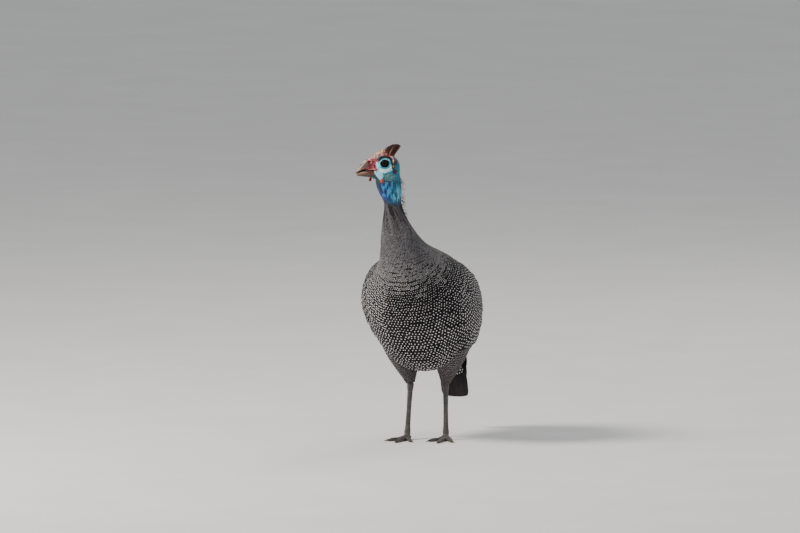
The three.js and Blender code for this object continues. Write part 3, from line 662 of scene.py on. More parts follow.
def paintFace(mesh, p, e):
    # the colours of the bare skin, from where it lies on the head
    x, y, z = p.T
    tint = skinTints
    side = np.abs(y)
    hz = z - eyeForm["z"]
    outSide = smoothStep((side - 4) / 3)
    wave = roughNoise(p, 0.16, 21)
    fine = roughNoise(p, 0.5, 23)
    rings = roughNoise(p * np.array((1, 1, 0.16)), 0.46, 25)
    paint = Paint(len(p), tint["teal"])
    lay = paint.lay

    def near(width, *places):
        return lineBell(x, z, places, width)

    def blot(middleX, middleZ, halfX, halfZ, width=1.0):
        return bell(np.hypot((x - middleX) / halfX, (z - middleZ) / halfZ), width)

    # neck: cobalt throat, sky blue blotches, teal nape with pale streaks, black at the feathers
    neckDown = smoothStep((-21 - z) / 10)
    lay(neckDown * smoothStep((x + 13 + 6 * wave) / 7) * 0.96, tint["cobalt"])
    blotch = neckDown * smoothStep((x + 15) / 4) * smoothStep((4 - x) / 5) * smoothStep((z + 55) / 10)
    lay(blotch * smoothStep((rings + 0.6 * fine + 0.05) / 0.16) * 0.9, tint["sky"])
    lay(blotch * smoothStep((fine - 0.1) / 0.12) * 0.7, tint["navy"])
    low = smoothStep((-34 - z) / 10)
    lay(low * smoothStep((-12 - x) / 4) * smoothStep((rings + 0.02) / 0.12) * 0.9, tint["streak"])
    lay(neckDown * smoothStep((rings - 0.16) / 0.1) * 0.5, tint["sky"])
    lay(neckDown * smoothStep((-0.12 - rings) / 0.12) * 0.75, tint["navy"])
    lay(neckDown * bell(y, 4.5) * smoothStep((-17 - x) / 5) * 0.8, tint["black"])
    lay(smoothStep((-56 - z + 9 * wave + 12 * rings) / 7) * 0.85, tint["navy"])
    lay(neckDown * smoothStep((x - 5) / 4) * smoothStep((z + 46) / 8) * 0.75, tint["navy"])
    # dull green jaw, dark chin and throat, with painted shadow in a line under the jaw
    jaw = blot(-6, -20.5, 10.5, 7.5) * outSide
    lay(smoothStep((jaw - 0.22 + 0.3 * fine + 0.2 * wave) / 0.5) * 0.85, tint["sage"])
    chin = near(4.2, (22, -18.5), (12, -23), (5, -29))
    lay(chin * 0.85, tint["chin"])
    lay(chin * smoothStep((fine - 0.04) / 0.14) * 0.4, tint["chinSpeck"])
    throat = near(2.6, (17.5, -17.5), (13, -25), (8, -35), (3, -44))
    lay(throat * outSide * 0.85, tint["throat"])
    # a navy line along the lower edge of the jaw: painted shadow
    lay(near(1.1, (0, -26.5), (-8, -27.5), (-15, -25)) * outSide * 0.85, tint["navy"])
    lay(jaw * smoothStep((fine - 0.1) / 0.12) * 0.55, tint["jawSpeck"])
    # turquoise round the lids, white below the eye, cyan running down to the wattle
    ring = smoothStep((1.72 + 0.14 * wave - e) / 0.14) * outSide
    lay(ring, tint["turquoise"])
    lay(ring * smoothStep((hz - 1) / 3) * smoothStep(fine / 0.16) * 0.6, tint["cyan"])
    patch = near(3.3, (10.5, 0.5), (10, -8), (1, -11), (-9, -8.2), (-11, -3))
    patch = np.maximum(patch, near(4.0, (9.5, -10), (6, -19)))
    patch = smoothStep((patch - 0.3) / 0.2) * outSide
    lay(patch, tint["cyan"])
    white = smoothStep((near(2.5, (6.5, -8.6), (0, -10.2), (-8, -7.6), (-10, -5.5)) - 0.32) / 0.2)
    lay(white * outSide * (0.85 + 0.4 * fine), tint["white"])
    lay(near(1.6, (11.5, 4), (11.8, -6)) * outSide * 0.75, tint["white"])
    lay(patch * (1 - white) * smoothStep((fine - 0.1) / 0.14) * 0.5, tint["sky"])
    # crimson cere, lores and crown, with pale folds and a cream ridge before the casque
    edge = 13.2 + 0.3 * (np.minimum(z, 0) + 4) - 0.55 * np.maximum(z, 0) + 1.6 * wave
    red = smoothStep((x - edge) / 1.2) * smoothStep((z + 17.5 - 0.22 * x) / 3)
    red = np.maximum(red, smoothStep((z - 11.2 - 1.4 * wave) / 1.4) * smoothStep((x + 22) / 3))
    lay(red, tint["crimson"])
    lay(red * smoothStep((fine - 0.04) / 0.15) * 0.6, tint["pink"])
    lay(red * smoothStep((-0.08 - fine) / 0.14) * 0.85, tint["blood"])
    band = near(2.6, (23.5, 9.2), (16, 11.4), (9, 13.2), (2, 15))
    lay(band * red * (0.75 + 1.2 * fine), tint["rose"])
    lay(bell(z - 15.5 - fine, 1.5) * smoothStep((-1 - x) / 3) * smoothStep((x + 18) / 3) * 0.6, tint["rose"])
    ridge = smoothStep((z - 13.4 + 0.36 * (x - 13)) / 2.4)
    ridge *= smoothStep((x + 5) / 3) * smoothStep((20 - x) / 5)
    lay(ridge * 0.95, tint["ridge"])
    lay(ridge * smoothStep((wave + 0.1) / 0.2) * 0.85, tint["cream"])
    lay(smoothStep((z - 16.5) / 2) * smoothStep((2 - x) / 3) * 0.85, tint["crown"])
    around = np.abs(np.hypot((x - 22.4) * 0.9, z - 4.6) - 3.6)
    lay(bell(around, 0.95) * outSide * 0.85, tint["blood"])
    lay(smoothStep((x - 14.5) / 2) * bell(z + 11.5 + 0.12 * (x - 14), 3.2), tint["blood"])
    lay(blot(17, -12.5, 6.5, 3.4) * outSide * 0.75, tint["orange"])
    # two dark lines along the gape: painted shade in the mouth's groove and below it
    for drop in (0.0, -3.1):
        fold = near(0.75, (25, drop - 9.6), (17.5, drop - 8.4), (13.4, drop - 11.4))
        lay(fold * outSide * 0.9, tint["blood"])
    lay(near(0.6, (25, -8.2), (18, -6.6), (12.6, -9.2)) * outSide * 0.7, tint["rose"])
    # dark brow over the lids, and maroon, pink and black marks behind the eye
    lay(smoothStep((near(1.6, (11, 5), (6, 9.5)) - 0.3) / 0.3) * outSide, tint["crimson"])
    brow = near(2.0, (8.5, 7.5), (4, 10.6), (-2, 11.8), (-9, 9.8), (-11.8, 5), (-12.4, 0))
    lay(smoothStep((brow - 0.25) / 0.3) * outSide, tint["brow"])
    lay(smoothStep((blot(-17.6, 5.8, 4, 6.6) - 0.18) / 0.25) * outSide, tint["bruise"])
    lay(near(0.95, (-11, 14), (-14.4, 9), (-14.4, 3)) * outSide, tint["rose"])
    lay(near(0.7, (-18, 9.5), (-19, 4)) * outSide * 0.5, tint["pink"])
    lay(smoothStep((blot(-14.2, -4.2, 3.0, 4.2, 0.95) - 0.16) / 0.25) * outSide, tint["bruise"])
    lay(blot(-14.4, -3.3, 1.3, 1.9, 0.8) * outSide, tint["rose"])
    lay(smoothStep((blot(-17.2, -12, 3.6, 3.3, 0.95) - 0.16) / 0.25) * outSide, tint["black"])
    lay(near(0.55, (-15.6, -10.6), (-18.6, -12.4)) * outSide * 0.6, tint["earEdge"])
    lay(smoothStep((-13 - x) / 4) * smoothStep((z - 9) / 3) * 0.85, tint["maroon"])
    # black at the lid edge and inside it, as painted shade of the lid rim and socket; dark in the nostril,
    # and black in the mouth's line as painted shade in its groove
    lay(smoothStep((1.13 - e) / 0.05) * outSide, tint["black"])
    lay(blot(nostrilX, nostrilZ, 1.8, 1.2, 0.9) * smoothStep((side - 2.5) / 2), tint["maroon"])
    # the mouth's line is black: painted shade in its sunk groove
    lay(bell(z - mouthHeight(x), 0.6) * smoothStep((x - mouthForm["gape"]) / 2) * outSide * 0.9,
        tint["black"])
    paint.store(mesh)


def makeSkinMaterial():
    material, n, shader = newMaterial("bareSkin", 0.5, specular=0.4)
    tone, height = addMottle(n, 1500.0, 260.0, 0.22)
    n.put(shader, "Base Color", toned(n, n.attribute("paint", "Color"), tone))
    n.put(shader, "Roughness", n.range(height, 0.3, 0.7, 0.38, 0.58))
    addBump(n, shader, height, 0.5, 0.0006)
    return material


legForm = dict(hip=(43, 8, 170), hock=(27, 17, 91), ankle=(30, 9, 9), stride=(7, -7))
thighRows = [  # share of the way, half depth, half width
    (0, 46, 32), (0.2, 43, 30.5), (0.45, 33, 25), (0.68, 21, 17.5),
    (0.86, 12.5, 11), (0.96, 8.6, 8), (1.0, 6.4, 6)]


def legPlaces(side):
    stride = legForm["stride"][0 if side > 0 else 1]
    hip, hock, ankle = (np.array(legForm[k], float) * (side, 1, 1) for k in ("hip", "hock", "ankle"))
    return hip, hock + yAxis * stride, ankle + yAxis * stride


def limbPoint(start, end, rows, t, angle, out=0.0):
    # a point of a limb: angle 0 faces front, 90 the bird's left
    rows = np.array(rows, float)
    way = end - start
    fore = unit(np.cross(xAxis, way))
    across = unit(np.cross(way, fore))
    if fore[1] > 0:
        fore = -fore
    if across[0] < 0:
        across = -across
    t, angle = np.broadcast_arrays(np.asarray(t, float), np.asarray(angle, float))
    depth = np.interp(t, rows[:, 0], rows[:, 1]) + out
    width = np.interp(t, rows[:, 0], rows[:, 2]) + out
    a = np.radians(angle)
    return (start + way * t[..., None] + fore * (depth * np.cos(a))[..., None]
            + across * (width * np.sin(a))[..., None])


def wingPlace(u, v):
    # a place of the wing on the body: u along the wing, v down from its upper edge
    u, v = np.asarray(u, float), np.asarray(v, float)
    w = wingForm
    s = w["start"] + (w["end"] - w["start"]) * u
    middle = w["middle"] + (w["middleEnd"] - w["middle"]) * u + w["arch"] * np.sin(np.pi * u)
    front = np.sqrt(np.clip(1 - (1 - np.minimum(1, u / w["rounding"])) ** 2, 0, None))
    half = w["half"] * (w["blunt"] + (1 - w["blunt"]) * front)
    half = half * (1 - w["taper"] * np.clip(u, 0, None) ** w["taperPower"])
    return s, middle + half * (2 * v - 1)


def wingCover(s, angle):
    # where a place of the body lies on the nearer wing
    u = (np.asarray(s, float) - wingForm["start"]) / (wingForm["end"] - wingForm["start"])
    angle = np.mod(angle, 360)
    angle = np.minimum(angle, 360 - angle)
    uu = np.clip(u, 0, 1)
    _, low = wingPlace(uu, 0.0)
    _, high = wingPlace(uu, 1.0)
    return u, (angle - low) / (high - low)


tailCore = [  # down from the root, share of the half thickness and of the half width
    (-8, 0.95, 0.9), (0.4, 0.98, 0.97), (12, 0.84, 0.98), (28, 0.5, 0.86), (44, 0.24, 0.7), (56, 0.1, 0.5)]


def tailAxes():
    # the tail's root, its way down and its way out at the back
    fall = math.radians(tailForm["fall"])
    root = np.array((0, tailForm["y"], tailForm["z"]))
    downward = yAxis * math.cos(fall) - zAxis * math.sin(fall)
    return root, downward, yAxis * math.sin(fall) + zAxis * math.cos(fall)


def addTailCore(bm):
    root, downward, backward = tailAxes()
    rings = []
    for down, thick, wide in finerRows(tailCore, 3):
        thickHalf = max(0.8, tailForm["thick"] * thick - 1.6)
        wideHalf = tailForm["wide"] * wide - 2
        rings.append(toScene(ellipseRing(root + downward * down, backward, thickHalf, xAxis, wideHalf, 32)))
    addRings(bm, rings)


def makeBodySkin():
    bm = bmesh.new()
    turns = degreesRound(skinForm["bodyAround"])
    rings = []
    for s in np.arange(skinForm["bodyStart"], skinForm["bodyEnd"] + 0.01, skinForm["step"]):
        point, _, _, out = surfaceFrame(np.full(len(turns), s), turns)
        u, v = wingCover(s, turns)
        wing = smoothStep(u / 0.12) * smoothStep((1 - u) / 0.05)
        wing *= smoothStep(v / 0.1) * smoothStep((1 - v) / 0.1)
        rings.append(toScene(point + out * (wing * 2.2 - skinForm["feltDepth"])[:, None]))
    addRings(bm, rings)
    for side in (1, -1):
        hip, hock, _ = legPlaces(side)
        addRings(bm, [toScene(limbPoint(hip, hock, thighRows, t, degreesRound(32), -1.6))
                      for t in np.linspace(0, 0.995, 14)])
    addTailCore(bm)
    outwards(bm)
    return remeshed(fromBmesh("bodySkin", bm), skinForm["bodyVoxel"], 3)


skin = makeFaceSkin()
p, e = sculptFace(skin.data)
paintFace(skin.data, p, e)
bodySkin = makeBodySkin()
Paint(len(bodySkin.data.vertices), skinForm["bodyPaint"]).store(bodySkin.data)
joinPieces("skin", [skin, bodySkin])
finishPiece(skin, makeSkinMaterial(), "face_skin",
            "head", "neck_upper", "neck_lower", "torso", "thigh_left", "thigh_right")
print("guinea fowl: skin", len(skin.data.polygons))

# bill, casque, eyes and wattles

billEdge = dict(x=0.961, z=-0.277, offset=24.3, tucked=0.6)
billForm = dict(x=14.0, top=10.4, tipX=44.6, tipZ=-14.6, lowerX=42.4, lowerZ=-17.4)
billTints = dict(
    upper=(0.125, 0.075, 0.060), lower=(0.050, 0.024, 0.018), upperBase=(0.115, 0.050, 0.052),
    lowerBase=(0.10, 0.022, 0.016), baseGrain=(0.040, 0.020, 0.024), sideLine=(0.30, 0.19, 0.13),
    ridge=(0.66, 0.54, 0.36), ridgeGrain=(0.36, 0.24, 0.15), lowerLine=(0.40, 0.215, 0.15),
    lowerEdge=(0.16, 0.085, 0.055), mouth=(0.022, 0.010, 0.009), grain=(0.060, 0.034, 0.030))
casqueTints = dict(
    ground=(0.036, 0.010, 0.008), flute=(0.20, 0.08, 0.04), raisedPale=(0.50, 0.30, 0.17),
    foot=(0.22, 0.055, 0.035), top=(0.008, 0.003, 0.004), rear=(0.36, 0.17, 0.07))
casqueRows = [  # height, front, rear, half width
    (9, 4, -17, 4.8), (14, 2.2, -19.6, 4.7), (18, 0, -22.4, 4.3), (22, -2.6, -25.8, 3.8),
    (26, -6.2, -28.8, 3.3), (29, -11.5, -28.6, 2.6), (30.6, -16.5, -25, 1.3)]


def billRings(upper, around=32, rows=26):
    f = billForm
    rings = []
    for t in np.linspace(0.0, 1.0, rows):
        if upper:
            x = f["x"] + (f["tipX"] - f["x"]) * t
            bottom = mouthHeight(x) - 2.4 * t ** 6 - 0.2
            top = f["top"] + (f["tipZ"] + 2.0 - f["top"]) * t ** 2.4
            width = 8 * (1 - t ** 2.6) ** 0.6 + 0.35
        else:
            x = f["x"] + (f["lowerX"] - f["x"]) * t
            top = mouthHeight(x) - 2.4 * ((x - f["x"]) / (f["tipX"] - f["x"])) ** 6 - 0.05
            bottom = -21.6 + (f["lowerZ"] - 0.9 + 21.6) * t ** 1.3
            width = 7 * (1 - t ** 2.8) ** 0.6 + 0.35
        ring = acrossRing(x, top, bottom, width, around)
        # the cutting edges are drawn in under the ridge
        height = (ring[:, 2] - bottom) / max(top - bottom, 0.01)
        pinch = 1 - 0.1 * bell(height - (0.16 if upper else 0.86), 0.12)
        ring[:, 1] *= pinch
        rings.append(ring)
    return rings


def makeBill(name, upper, nodeName, material):
    bm = bmesh.new()
    addRings(bm, [headToScene(ring) for ring in billRings(upper)])
    normal = headSpin @ np.array((billEdge["x"], 0, billEdge["z"]))
    place = fromHead((0, 0, 0)) + normal * (billEdge["offset"] - billEdge["tucked"])
    cut = bmesh.ops.bisect_plane(bm, geom=bm.verts[:] + bm.edges[:] + bm.faces[:],
                                 plane_co=Vector(toScene(place)), plane_no=Vector(normal), clear_inner=True)
    bmesh.ops.holes_fill(bm, edges=[g for g in cut["geom_cut"] if isinstance(g, bmesh.types.BMEdge)])
    outwards(bm)
    piece = subdivided(fromBmesh(name, bm), 1)
    p = toHead(getPoints(piece.data))
    x, _, z = p.T
    # growth lines run along the bill
    grain = roughNoise(p * np.array((0.25, 1, 1)), 0.9, 31)
    pushOut(piece.data, p, 0.14 * grain)
    tip = smoothStep((x - 34) / 8)
    ridge = smoothStep((z - (2.6 - 0.62 * (x - 30)) + 1.2 * grain) / 3.5) if upper else np.zeros(len(x))
    base = smoothStep((31 - x) / 6)
    edge = bell(z - mouthHeight(x), 1.6)
    tint = billTints
    paint = Paint(len(p), tint["upper" if upper else "lower"])
    lay = paint.lay
    lay(base * 0.7, tint["upperBase" if upper else "lowerBase"])
    lay(base * smoothStep((grain + 0.02) / 0.16) * 0.7, tint["baseGrain"])
    if upper:
        lay(bell(z - mouthHeight(x) - 3.4, 1.1) * 0.6, tint["sideLine"])
        # the pale tip is the horn's own colour; the pale ridge along the top is partly its own cream and
        # partly a painted highlight
        lay(np.maximum(tip * 0.35, ridge), tint["ridge"])
        lay(ridge * smoothStep((grain + 0.1) / 0.2) * 0.35, tint["ridgeGrain"])
    else:
        lay(bell(z - mouthHeight(x) + 2.9, 1.5) * (0.85 + 0.5 * grain), tint["lowerLine"])
        lay(bell(z - mouthHeight(x) + 6.4, 1.6) * smoothStep((x - 18) / 6) * 0.7, tint["lowerEdge"])
    # dark along the mouth's line: painted shade in the groove between the mandibles
    lay(edge * 0.8, tint["mouth"])
    lay(smoothStep((grain - 0.1) / 0.16) * 0.4, tint["grain"])
    paint.store(piece.data)
    finishPiece(piece, material, "bill_horn", nodeName)


def makeHornMaterial(name, rough, coat, specular=0.45):
    material, n, shader = newMaterial(name, rough, specular=specular, coat=coat, coatRough=0.25)
    tone, height = addMottle(n, 1300.0, 240.0, 0.3)
    n.put(shader, "Base Color", toned(n, n.attribute("paint", "Color"), tone))
    n.put(shader, "Roughness", n.range(height, 0.3, 0.7, rough - 0.1, rough + 0.12))
    addBump(n, shader, height, 0.35, 0.0005)
    return material


hornMaterial = makeHornMaterial("horn", 0.38, 0.15)
makeBill("billUpper", True, "bill_upper", hornMaterial)
makeBill("billLower", False, "bill_lower", hornMaterial)


def makeCasque():
    bm = bmesh.new()
    rings = []
    for z, front, rear, width in finerRows(casqueRows, 4):
        ring = ellipseRing(((front + rear) / 2, 0, z), xAxis, (front - rear) / 2, yAxis, width, 40)
        rings.append(headToScene(ring))
    addRings(bm, rings)
    outwards(bm)
    piece = subdivided(fromBmesh("casqueShell", bm), 1)
    p = toHead(getPoints(piece.data))
    x, y, z = p.T
    flutes = roughNoise(np.stack([x + 0.66 * (z - 14), y, 0.12 * z], -1), 0.52, 41)
    pushOut(piece.data, p, 0.75 * flutes + 0.15 * roughNoise(p, 0.9, 43))
    tint = casqueTints
    paint = Paint(len(p), tint["ground"])
    lay = paint.lay
    high = smoothStep((z - 13) / 15)
    lay(smoothStep((flutes - 0.08) / 0.14) * (0.9 - 0.75 * high), tint["flute"])
    # the highest flutes, low on the casque, are paler
    lay(smoothStep((flutes - 0.24) / 0.1) * (1 - high) * 0.5, tint["raisedPale"])
    lay((1 - smoothStep((z - 12) / 4)) * 0.8, tint["foot"])
    lay(high * smoothStep((0.06 - flutes) / 0.15) * 0.9, tint["top"])
    lay(smoothStep((-19.5 - 0.55 * (z - 14) - x) / 1.6) * smoothStep((z - 15) / 4) * 0.75, tint["rear"])
    paint.store(piece.data)
    finishPiece(piece, makeHornMaterial("casqueHorn", 0.5, 0.03, 0.18), "casque_horn", "casque")


makeCasque()


def makeEyeMaterial():
    material, n, shader = newMaterial("darkEye", 0.09, specular=0.08, coat=0.08, coatRough=0.06)
    ring = n.attribute("fromPupil")
    place = n.place()
    grain = n.noise(place, 900.0, 3).outputs["Fac"]
    uneven = n.math("ADD", ring, n.math("MULTIPLY", n.math("SUBTRACT", grain, 0.5), 0.08))
    n.put(shader, "Base Color", n.ramp(uneven, [
        (0.0, (0.002, 0.002, 0.003)), (0.46, (0.003, 0.002, 0.002)), (0.55, (0.013, 0.005, 0.003)),
        (0.8, (0.009, 0.004, 0.002)), (0.92, (0.002, 0.002, 0.002))]))
    return material


def makeEye(name, side, nodeName, material):
    bm = bmesh.new()
    verts, local = unitBall(bm, 48, 32)
    local = local[:, [0, 2, 1]]
    # the cornea bulges a little in the middle
    bulge = 1 + eyeForm["bulge"] * smoothStep((local[:, 1] * side - 0.72) / 0.28)
    middle = (0, side * (eyeForm["y"] + eyeForm["proud"]), eyeForm["z"])
    placeVerts(verts, headToScene(local * bulge[:, None] * eyeForm["radius"] + middle))
    outwards(bm)
    piece = fromBmesh(name, bm)
    x, y, z = toHead(getPoints(piece.data)).T
    fromMiddle = np.hypot(x, z - eyeForm["z"]) / eyeForm["dark"]
    addAttribute(piece.data, "fromPupil", np.where(y * side > eyeForm["y"], np.clip(fromMiddle, 0, 1), 1))
    finishPiece(piece, material, "eye", nodeName)


eyeMaterial = makeEyeMaterial()
makeEye("eyeLeft", 1, "eye_left", eyeMaterial)
makeEye("eyeRight", -1, "eye_right", eyeMaterial)

wattleForm = dict(
    wattleLeft=dict(root=(12.4, 10.2, -8.5), tip=(4, 15.4, -28.4), width=4.6, node="wattle_left",
                    bulb=(0.36, 0.035, 0.04)),
    # the far wattle's red is darker than the near one's: painted shade on the far side of the head
    wattleRight=dict(root=(12.4, -10.2, -8.5), tip=(18.5, -13.2, -28.5), width=3.4, node="wattle_right",
                     bulb=(0.15, 0.008, 0.012)))
wattleTints = dict(pale=(0.30, 0.66, 0.78), top=(0.5, 0.8, 0.85))
wattleRows = [  # share of the way down, half width, half thickness
    (0, 1, 0.2), (0.16, 1.15, 0.24), (0.36, 1, 0.26), (0.58, 0.72, 0.3),
    (0.74, 0.6, 0.42), (0.87, 0.74, 0.62), (0.96, 0.6, 0.5), (1, 0.28, 0.24)]


def makeWattle(name, form, material):
    root, tip = np.array(form["root"], float), np.array(form["tip"], float)
    fall = tip - root
    out = unit(yAxis - fall * (yAxis @ fall) / (fall @ fall))
    across = unit(np.cross(fall, out))
    width = form["width"]
    bm = bmesh.new()
    addRings(bm, [
        headToScene(ellipseRing(root + fall * t, across, width * wide, out, width * thick, 28))
        for t, wide, thick in finerRows(wattleRows, 4)])
    outwards(bm)
    piece = subdivided(fromBmesh(name, bm), 1)
    p = toHead(getPoints(piece.data))
    crease = 0.28 * folds(p, (0.9, 0, 0.35), 2.4, 51) + 0.3 * roughNoise(p, 0.5, 53)
    pushOut(piece.data, p, crease)
    down = ((p - root) @ fall) / (fall @ fall)
    red = smoothStep((down - 0.66 + 0.05 * crease) / 0.1)
    # the far wattle takes this darker, shaded red over most of its length
    if form["node"] == "wattle_right":
        red = np.maximum(red, smoothStep((down - 0.2) / 0.2) * 0.99)
    top = smoothStep((0.2 - down) / 0.15) * 0.7
    paint = Paint(len(p), wattleTints["pale"])
    paint.lay(red, form["bulb"])
    paint.lay(0.3 * top, wattleTints["top"])
    paint.store(piece.data)
    finishPiece(piece, material, "wattle_skin", form["node"])


for name, form in wattleForm.items():
    makeWattle(name, form, skin.data.materials[0])
print("guinea fowl: bill, casque, eyes and wattles")

# feathers

dice = random.Random(41)
spread = np.random.RandomState(41)

vaneForm = dict(long=0.87, half=0.78)  # shares of a feather's room in its row
bakeForm = dict(half=0.2, plain=0.22, marked=0.75, wide=0.004, small=0.003)

# outline of a feather: share of the length, share of the half width
roundOutline = [(0, 0.16), (0.22, 0.66), (0.45, 0.95), (0.68, 1.0), (0.84, 0.84), (0.95, 0.5), (1.0, 0.0)]
longOutline = [
    (0, 0.3), (0.12, 0.62), (0.3, 0.9), (0.5, 1.0), (0.74, 1.0), (0.9, 0.84), (0.97, 0.5), (1.0, 0.0)]
hairOutline = [(0, 0.5), (0.3, 1.0), (0.65, 0.72), (1.0, 0.0)]


def makeTemplate(outline, marks, sides=7):
    # a flat feather as triangles, with its pale marks cut in: marks are x, y, half sizes in x and y
    rim = [(w, y) for y, w in outline[:-1]] + [(0.0, 1.0)] + [(-w, y) for y, w in outline[-2::-1]]
    verts = [Vector(v) for v in rim]
    faces = [list(range(len(rim)))]
    for x, y, rx, ry in marks:
        first = len(verts)
        for k in range(sides):
            a = 2 * math.pi * (k + 0.5) / sides
            verts.append(Vector((x + rx * math.cos(a), y + ry * math.sin(a))))
        faces.append(list(range(first, first + sides)))
    points, _, triangles, _, _, owners = delaunay_2d_cdt(verts, [], faces, 1, 1e-6)
    flat = np.array([p[:] for p in points])
    top, spot = [], []
    for face, owner in zip(triangles, owners):
        for k in range(1, len(face) - 1):
            tri = [face[0], face[k], face[k + 1]]
            (ax, ay), (bx, by), (cx, cy) = flat[tri]
            if (bx - ax) * (cy - ay) - (by - ay) * (cx - ax) < 0:
                tri.reverse()
            top.append(tri)
            spot.append(1.0 if any(o > 0 for o in owner) else 0.0)
    # the underside is a plain fan between the two edges
    near = [int(np.argmin(np.abs(flat - np.array(v)).sum(1))) for v in rim]
    bottom = []
    count = len(near)
    for k in range(count // 2):
        a, b, c, d = near[k], near[k + 1], near[count - 2 - k], near[count - 1 - k]
        bottom.append([b, a, d])
        if b != c:
            bottom.append([b, d, c])
    return dict(x=flat[:, 0], y=flat[:, 1], faces=np.array(top + bottom),
                spot=np.array(spot + [0.0] * len(bottom)), rim=near)


def offsetOnSurface(s, angle, ahead, x, y, surface=bareSurface):
    # moves places of a surface by x across and y along a direction, in millimetres
    _, ts, ta, normal = surfaceFrame(s, angle, surface)
    ahead = unit(ahead - normal * (ahead * normal).sum(-1, keepdims=True))
    across = np.cross(ahead, normal)
    move = across * x[..., None] + ahead * y[..., None]
    ss, sa, aa = (ts * ts).sum(-1), (ts * ta).sum(-1), (ta * ta).sum(-1)
    ms, ma = (move * ts).sum(-1), (move * ta).sum(-1)
    det = ss * aa - sa * sa
    return s + (ms * aa - ma * sa) / det, angle + (ma * ss - ms * sa) / det


def featherRows(root, side=1.0, brown=0.0, **values):
    # what is known of each feather: its root and tip places, half width, lifts, camber, roll and tints
    rows = dict(values, side=side, brown=brown)
    rows = {key: np.broadcast_to(np.asarray(value, float), len(root)) for key, value in rows.items()}
    return dict(rows, root=root)


def drape(rows, template, surface):
    x, y = template["x"], template["y"]
    count, n = len(rows["s0"]), len(x)

    def every(key):
        return np.repeat(rows[key][:, None], n, 1)

    t = np.repeat(y[None, :], count, 0)
    wide = np.repeat(x[None, :], count, 0)
    stepS, stepA = every("s1") - every("s0"), every("a1") - every("a0")
    s = every("s0") + stepS * t
    angle = every("a0") + stepA * t
    ahead = surface(s + stepS * 0.02, angle + stepA * 0.02) - surface(s, angle)
    ps, pa = offsetOnSurface(s, angle, ahead, wide * every("half") * every("side"), 0 * wide, surface)
    point, _, _, out = surfaceFrame(ps, pa, surface)
    lift = every("low") + (every("high") - every("low")) * t ** 1.15
    lift += every("camber") * (1 - wide ** 2) * (0.5 + 0.5 * t) + every("roll") * wide * smoothStep(t / 0.3)
    return point + out * lift[..., None]


def makeFeathers(name, kind, surface, rows, tile):
    # one mesh of feathers of one kind laid on a surface, with marks and a bake patch for each
    template = templates[kind]
    points = drape(rows, template, surface)
    count, n = points.shape[:2]
    faces = template["faces"]
    every = (faces[None] + (np.arange(count) * n)[:, None, None]).reshape(-1, 3)
    mesh = bpy.data.meshes.new(name)
    mesh.vertices.add(count * n)
    mesh.vertices.foreach_set("co", toScene(points).astype(np.float32).ravel())
    mesh.loops.add(len(every) * 3)
    mesh.loops.foreach_set("vertex_index", every.astype(np.int32).ravel())
    mesh.polygons.add(len(every))
    mesh.polygons.foreach_set("loop_start", np.arange(0, len(every) * 3, 3, dtype=np.int32))
    mesh.update(calc_edges=True)
    mesh.polygons.foreach_set("use_smooth", np.ones(len(every), bool))
    rimPlace = np.full(n, -1)
    rimPlace[template["rim"]] = np.arange(len(template["rim"]))
    ends = np.empty(len(mesh.edges) * 2, np.int32)
    mesh.edges.foreach_get("vertices", ends)
    local = rimPlace[ends.reshape(-1, 2) % n]
    step = np.abs(local[:, 0] - local[:, 1])
    onRim = (local >= 0).all(1) & ((step == 1) | (step == len(template["rim"]) - 1))
    mesh.attributes.new("sharp_edge", "BOOLEAN", "EDGE").data.foreach_set("value", onRim)
    corner = np.repeat(np.tile(template["spot"], count), 3)
    addAttribute(mesh, "spot", corner, domain="CORNER")
    for key in ("tone", "shade", "pale", "brown"):
        addAttribute(mesh, key, np.repeat(rows[key], n))
    fx, fy = np.tile(template["x"], count), np.tile(template["y"], count)
    addAttribute(mesh, "down", fy)
    vertexOf = every.ravel()
    half = np.repeat(rows["half"], n)
    length = np.repeat(np.linalg.norm(points[:, np.argmax(template["y"])] - points[:, 0], axis=1), n)
    place = np.stack([fx * half, fy * length], -1)[vertexOf] / 1000
    mesh.uv_layers.new(name="vane").data.foreach_set("uv", place.astype(np.float32).ravel())
    # the bake patch: the vane's own colour on its left, the marks on its right
    patch = np.stack([fx * bakeForm["half"], fy], -1)[vertexOf]
    patch[:, 0] += np.where(corner > 0.5, bakeForm["marked"], bakeForm["plain"])
    start = np.repeat(rows["root"], n, 0)[vertexOf]
    bake = (start + patch * tile).astype(np.float32)
    mesh.uv_layers.new(name="OFBake").data.foreach_set("uv", bake.ravel())
    return newObject(name, mesh)


def spotMarks(radius, rows=2, stretch=1.0, ratio=0.41, first=0.905, step=0.2377):
    # round spots that make one even lattice over the rows
    marks = []
    for k in range(rows):
        y = first - step * k
        places = (-0.333, 0.333) if k % 2 == 0 else (-0.667, 0.0, 0.667)
        marks += [(x, y, radius * stretch, radius * ratio / stretch) for x in places]
    return marks


def wavyMarks():
    # bars right across the vane, bent back from the shaft
    marks = []
    for y, x, rx in ((0.885, 0.29, 0.25), (0.65, 0.43, 0.37), (0.42, 0.42, 0.36)):
        marks += [(-x, y, rx, 0.033), (x, y - 0.02, rx, 0.033)]
    return marks


def barMarks():
    # short bars bent back from the shaft
    marks = []
    for k in range(3):
        y = 0.93 - 0.15 * k
        places = (-0.3, 0.3) if k == 0 else (-0.6, 0.0, 0.6)
        marks += [(x, y - 0.05 * abs(x), 0.21, 0.027) for x in places]
    return marks


def longMarks(first, last, rows, places, rx, ry, bars=()):
    marks = []
    for k in range(rows):
        y = first + (last - first) * k / (rows - 1)
        for i, x in enumerate(places):
            marks.append((x, y + (last - first) / (rows - 1) * 0.5 * (i % 2), rx, ry))
        marks += [(x, y, rx * 0.85, ry * 0.5) for x in bars]
    return marks


